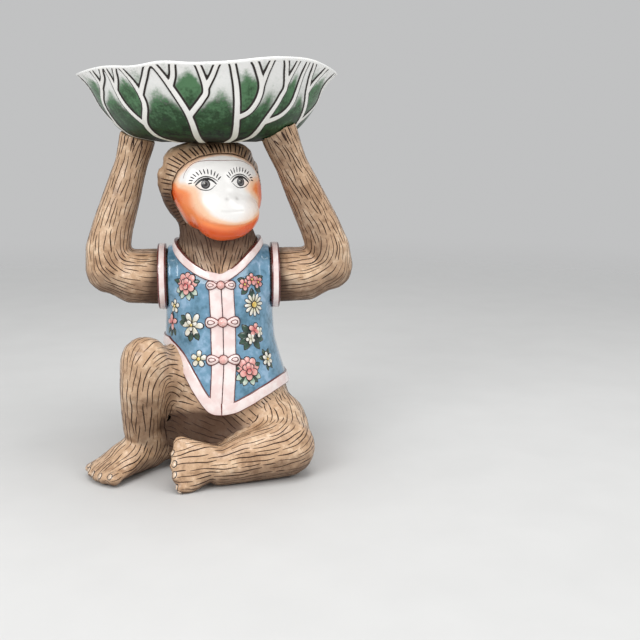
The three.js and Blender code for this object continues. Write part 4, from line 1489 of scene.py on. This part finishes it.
def leaf_side(share):
    """Radius and height of the leaf's outer side, from foot 0 to rim 1."""
    last = len(LEAF_SIDE) - 1
    k = min(int(share * last), last - 1)
    t = share * last - k
    a, b, c, d = (np.array(LEAF_SIDE[min(max(k + step, 0), last)], float) for step in (-1, 0, 1, 2))
    start, end = (c - a) / 2, (d - b) / 2
    cube, square = 2 * b - 2 * c + start + end, 3 * c - 3 * b - 2 * start - end
    out, up = cube * t ** 3 + square * t ** 2 + start * t + b
    return np.array([BOWL_FOOT + out * (BOWL_RIM - BOWL_FOOT), up * BOWL_DEPTH])


SIDE_SHARES = np.linspace(0, 1, 201)
SIDE_CURVE = np.array([leaf_side(share) for share in SIDE_SHARES])


def on_leaf(turn, share):
    """Places on the outer side of the leaf before it is ruffled, in millimetres."""
    radius = np.interp(share, SIDE_SHARES, SIDE_CURVE[:, 0])
    height = np.interp(share, SIDE_SHARES, SIDE_CURVE[:, 1])
    return np.stack([radius * np.cos(turn), radius * np.sin(turn), height], axis=-1)


# Veins: their half width at the foot, what they lose up to the rim, and how far they stand out
VEIN_HALF = 3.0
VEIN_THINS = 1.1
VEIN_RELIEF = 0.7
# Those of the leaf's front as (degrees round the bowl, share of its side), stem by stem
FRONT_VEINS = [
    [(-98, 0.0), (-98, 0.2), (-100, 0.47), (-107, 0.74), (-112, 1.0)],
    [(-107, 0.74), (-105, 0.86), (-104, 1.0)],
    [(-100, 0.47), (-93, 0.62), (-91, 0.72), (-94, 1.0)],
    [(-91, 0.72), (-88, 0.86), (-86, 1.0)],
    [(-71, 0.0), (-73, 0.2), (-75, 0.45), (-77, 0.73), (-80, 1.0)],
    [(-75, 0.45), (-68, 0.53), (-65, 0.72), (-71, 1.0)],
    [(-65, 0.72), (-64, 0.86), (-63, 1.0)],
    [(-60, 0.0), (-60, 0.15), (-58, 0.4), (-53, 0.62), (-51, 0.74), (-56, 1.0)],
    [(-51, 0.74), (-49, 0.88), (-48, 1.0)],
    [(-58, 0.4), (-47, 0.49), (-42, 0.65), (-41, 1.0)],
    [(-126, 0.0), (-127, 0.15), (-128, 0.38), (-123, 0.55), (-123, 0.67), (-128, 1.0)],
    [(-123, 0.67), (-118, 0.85), (-114, 1.0)],
    [(-128, 0.38), (-135, 0.54), (-139, 0.72), (-139, 1.0)],
    [(-139, 0.72), (-135, 0.86), (-132, 1.0)],
    [(-160, 0.0), (-160, 0.32), (-157, 0.6), (-151, 0.76), (-150, 1.0)],
    [(-151, 0.76), (-145, 0.88), (-142, 1.0)],
    [(-160, 0.32), (-170, 0.58), (-168, 0.8), (-166, 1.0)],
    [(-24, 0.0), (-26, 0.4), (-31, 0.62), (-33, 0.72), (-36, 1.0)],
    [(-32, 0.7), (-28, 0.86), (-26, 1.0)],
    [(-26, 0.4), (-14, 0.6), (-17, 0.78), (-16, 1.0)],
]


def leaf_veins():
    """The veins all round as places with their half widths; the back mirrors the front, and the
    stems thin out over the floor to its middle."""
    places, halves = [], []
    inward = np.linspace(0.12, 1, 60)
    for route in FRONT_VEINS:
        line = curve_through([(turn, share * 100, 0) for turn, share in route], 1.0)
        share = np.clip(line[:, 1] / 100, 0, 1)
        for sign in (1, -1):
            places.append(on_leaf(np.radians(line[:, 0] * sign), share))
            halves.append(VEIN_HALF - VEIN_THINS * share)
            if share[0] == 0:
                places.append(places[-1][0] * inward[:, None])
                halves.append(VEIN_HALF * inward)
    return np.vstack(places), np.concatenate(halves)


class Veins:
    """Distance from the edge of the nearest vein, in millimetres, less than 0 on a vein."""

    def __init__(self):
        places, self.halves = leaf_veins()
        self.tree = tree_of(places)

    def apart(self, turn, share, floor=1.0):
        """The distance at a turn and a share of the side, or of the floor's radius."""
        places = on_leaf(turn, share) * np.expand_dims(floor, -1)
        found = [self.tree.find(place) for place in places.reshape(-1, 3)]
        apart = np.array([distance - self.halves[k] for _, k, distance in found])
        return apart.reshape(np.shape(turn))


# Grid of the green glaze: columns to a degree round the bowl, and steps up its side
GRID_FINE = 2
GRID_TURNS = 360 * GRID_FINE
GRID_STEPS = 100


def sponged(veins):
    """How green the leaf is at each place of the grid: each cell between the veins is dabbed from
    its foot up, and its top stays pale."""
    turns, shares = np.meshgrid(np.radians(np.arange(-180, 180, 1 / GRID_FINE)),
                                np.linspace(0, 1, GRID_STEPS + 1), indexing="ij")
    apart = veins.apart(turns, shares)
    clear = apart > 0.2
    cell = np.where(clear, np.arange(clear.size).reshape(clear.shape) + 1, 0)
    spread = True
    while spread:
        wide = np.maximum.reduce([cell, np.roll(cell, 1, 0), np.roll(cell, -1, 0)])
        wide[:, 1:] = np.maximum(wide[:, 1:], cell[:, :-1])
        wide[:, :-1] = np.maximum(wide[:, :-1], cell[:, 1:])
        wide = np.where(clear, wide, 0)
        spread = bool((wide != cell).any())
        cell = wide
    green = np.zeros(cell.shape)
    for index in np.unique(cell[clear]):
        inside = cell == index
        foot = shares[inside].min()
        # The green reaches higher in upper cells and where a cell is wide
        top = foot + (0.6 if foot < 0.2 else 0.66) * (1 - foot)
        top = top + 0.018 * (np.minimum(apart[inside], 7) - 4)
        green[inside] = ease(shares[inside] - top, 0.15, -0.15) * (1 - 0.55 * ease(foot, 0.6, 0.8))
    # The dabs run on under the veins
    for _ in range(6):
        around = np.maximum.reduce([np.roll(green, 1, 0), np.roll(green, -1, 0), green])
        green = np.where(clear, green, around)
    return green


def leaf_profile():
    """Points (radius, height, side) of the wall: side runs from 0 at the foot to 1 at the rim, and
    on to 2 inside."""
    steps_out, steps_in = 108, 36
    profile = [(radius, 0.0, 0.0) for radius in np.linspace(0, BOWL_FOOT, 8)[:-1]]
    profile += [(*leaf_side(k / steps_out), k / steps_out) for k in range(steps_out + 1)]
    rim = leaf_side(1.0)
    slope = rim - leaf_side(0.99)
    slope /= np.linalg.norm(slope)
    inward = np.array([-slope[1], slope[0]])
    for angle in np.radians([30, 60, 90, 120, 150]):
        lip = rim + RIM_WALL / 2 * (inward * (1 - math.cos(angle)) + slope * math.sin(angle))
        profile.append((*lip, 1.0))
    for k in range(steps_in, -1, -1):
        share = k / steps_in
        way = leaf_side(min(share + 0.01, 1)) - leaf_side(max(share - 0.01, 0))
        way /= np.linalg.norm(way)
        wall = BOWL_WALL + (RIM_WALL - BOWL_WALL) * ease(share, 0.6, 1.0)
        profile.append((*(leaf_side(share) + np.array([-way[1], way[0]]) * wall), 2 - share))
    return profile + [(radius, BOWL_WALL, 2.0) for radius in np.linspace(BOWL_FOOT, 0, 8)[1:]]


def leaf_bowl():
    shape = bmesh.new()
    mark = shape.verts.layers.float.new("side")
    line = []
    for radius, height, side in leaf_profile():
        vert = shape.verts.new((radius, 0, height))
        vert[mark] = side
        line.append(vert)
    for near, far in zip(line, line[1:]):
        shape.edges.new((near, far))
    piece = as_object(shape, "leaf_bowl_glazed")
    wheel = piece.modifiers.new("wheel", "SCREW")
    wheel.steps = wheel.render_steps = BOWL_STEPS
    wheel.use_merge_vertices = True
    wheel.merge_threshold = 0.001
    settle(piece)
    shape = bmesh.new()
    shape.from_mesh(piece.data)
    bmesh.ops.recalc_face_normals(shape, faces=shape.faces)
    shape.to_mesh(piece.data)
    shape.free()

    co = points_of(piece)
    side = np.empty(len(co), np.float32)
    piece.data.attributes["side"].data.foreach_get("value", side)
    share = np.where(side > 1, 2 - side, side)
    turn = np.arctan2(co[:, 1], co[:, 0])
    veins = Veins()
    floor = np.where(share == 0, np.minimum(np.hypot(co[:, 0], co[:, 1]) / BOWL_FOOT, 1), 1)
    vein = veins.apart(turn, share, floor)
    column = np.round(np.degrees(turn) * GRID_FINE).astype(int) + GRID_TURNS // 2
    row = np.round(share * GRID_STEPS).astype(int)
    keep_mark(piece, "vein", vein)
    keep_mark(piece, "height", share)
    keep_mark(piece, "sponge", sponged(veins)[column % GRID_TURNS, row])

    rise = np.clip(co[:, 2] / BOWL_DEPTH, 0, None)
    lobe = BOWL_LOBES * turn - LOBE_START
    crest = np.clip(np.cos(turn - CREST_TURN), 0, None) ** 12
    co[:, :2] *= (1 - LOBE_DEPTH * rise ** 2 * np.cos(lobe))[:, None]
    ruffle = sum(high * np.exp(-((np.degrees(turn) - at) / spread) ** 2)
                 for at, spread, high in RIM_RUFFLES)
    wave = RIM_WAVE * np.cos(lobe) - RIM_DROOP * np.cos(turn) ** 4 + RIM_CREST * crest + ruffle
    co[:, 2] += rise ** 3 * wave
    move_points(piece, co * MM + np.array(BOWL_AT))
    relief = VEIN_RELIEF * ease(vein, 0.7, -0.7) * (side <= 1) * ease(share, 1.0, 0.9)
    move_points(piece, points_of(piece) + normals_of(piece) * relief[:, None] * MM)
    return finish_piece(piece, leaf_paint, "leaf_glaze", "leaf_bowl")


leaf_bowl()


# Studio

# Lamps as (place, size, power), and the height on the figure that they point at
LAMPS = {"key": ((-700, -950, 850), 700, 7.6), "fill": ((900, -750, 750), 600, 3.4),
         "top": ((60, -150, 1300), 800, 8)}
LAMPS_AIM = 160
# Distances in metres between which the floor fades out
FLOOR_FADES = (0.5, 1.7)


def studio():
    bpy.ops.mesh.primitive_plane_add(size=8)
    floor = bpy.context.object
    floor.name = "floor"
    pale = Paint("floor_pale", 0)
    tone = pale.blend(rgb(206, 206, 205), rgb(214, 214, 213), pale.cloud(60, 3.0))
    pale.fire(tone, 0.6, 0.2, 0.0)
    place = pale.node("ShaderNodeTexCoord", output=3)
    away = pale.node("ShaderNodeVectorMath", {"operation": "LENGTH"}, {0: place}, output=1)
    clear = pale.node("ShaderNodeBsdfTransparent")
    solid = Wire(pale, pale.shader.outputs[0])
    faded = pale.node("ShaderNodeMixShader", {},
                      {0: pale.ease(away, *FLOOR_FADES), 1: solid, 2: clear})
    pale.tree.links.new(faded.socket, pale.tree.nodes["Material Output"].inputs["Surface"])
    floor.data.materials.append(pale.material)

    world = bpy.data.worlds.new("studio")
    bpy.context.scene.world = world
    world.use_nodes = True
    sky = world.node_tree.nodes["Background"]
    sky.inputs["Color"].default_value = (0.86, 0.865, 0.87, 1)
    sky.inputs["Strength"].default_value = 0.62

    for name, (place, size, power) in LAMPS.items():
        lamp = bpy.data.lights.new(name, "AREA")
        lamp.size = size * MM
        lamp.energy = power
        holder = bpy.data.objects.new(name, lamp)
        holder.location = spot(*place)
        aim = spot(0, 0, LAMPS_AIM) - holder.location
        holder.rotation_euler = aim.to_track_quat("-Z", "Y").to_euler()
        bpy.context.scene.collection.objects.link(holder)

    lens = bpy.data.cameras.new("camera")
    lens.sensor_width = SENSOR
    lens.lens = FOCAL_PIXELS / PICTURE * SENSOR
    camera = bpy.data.objects.new("camera", lens)
    camera.location = CAMERA_AT
    camera.rotation_euler = CAMERA_TURN
    bpy.context.scene.collection.objects.link(camera)
    bpy.context.scene.camera = camera
    bpy.context.scene.view_settings.view_transform = "Standard"


studio()
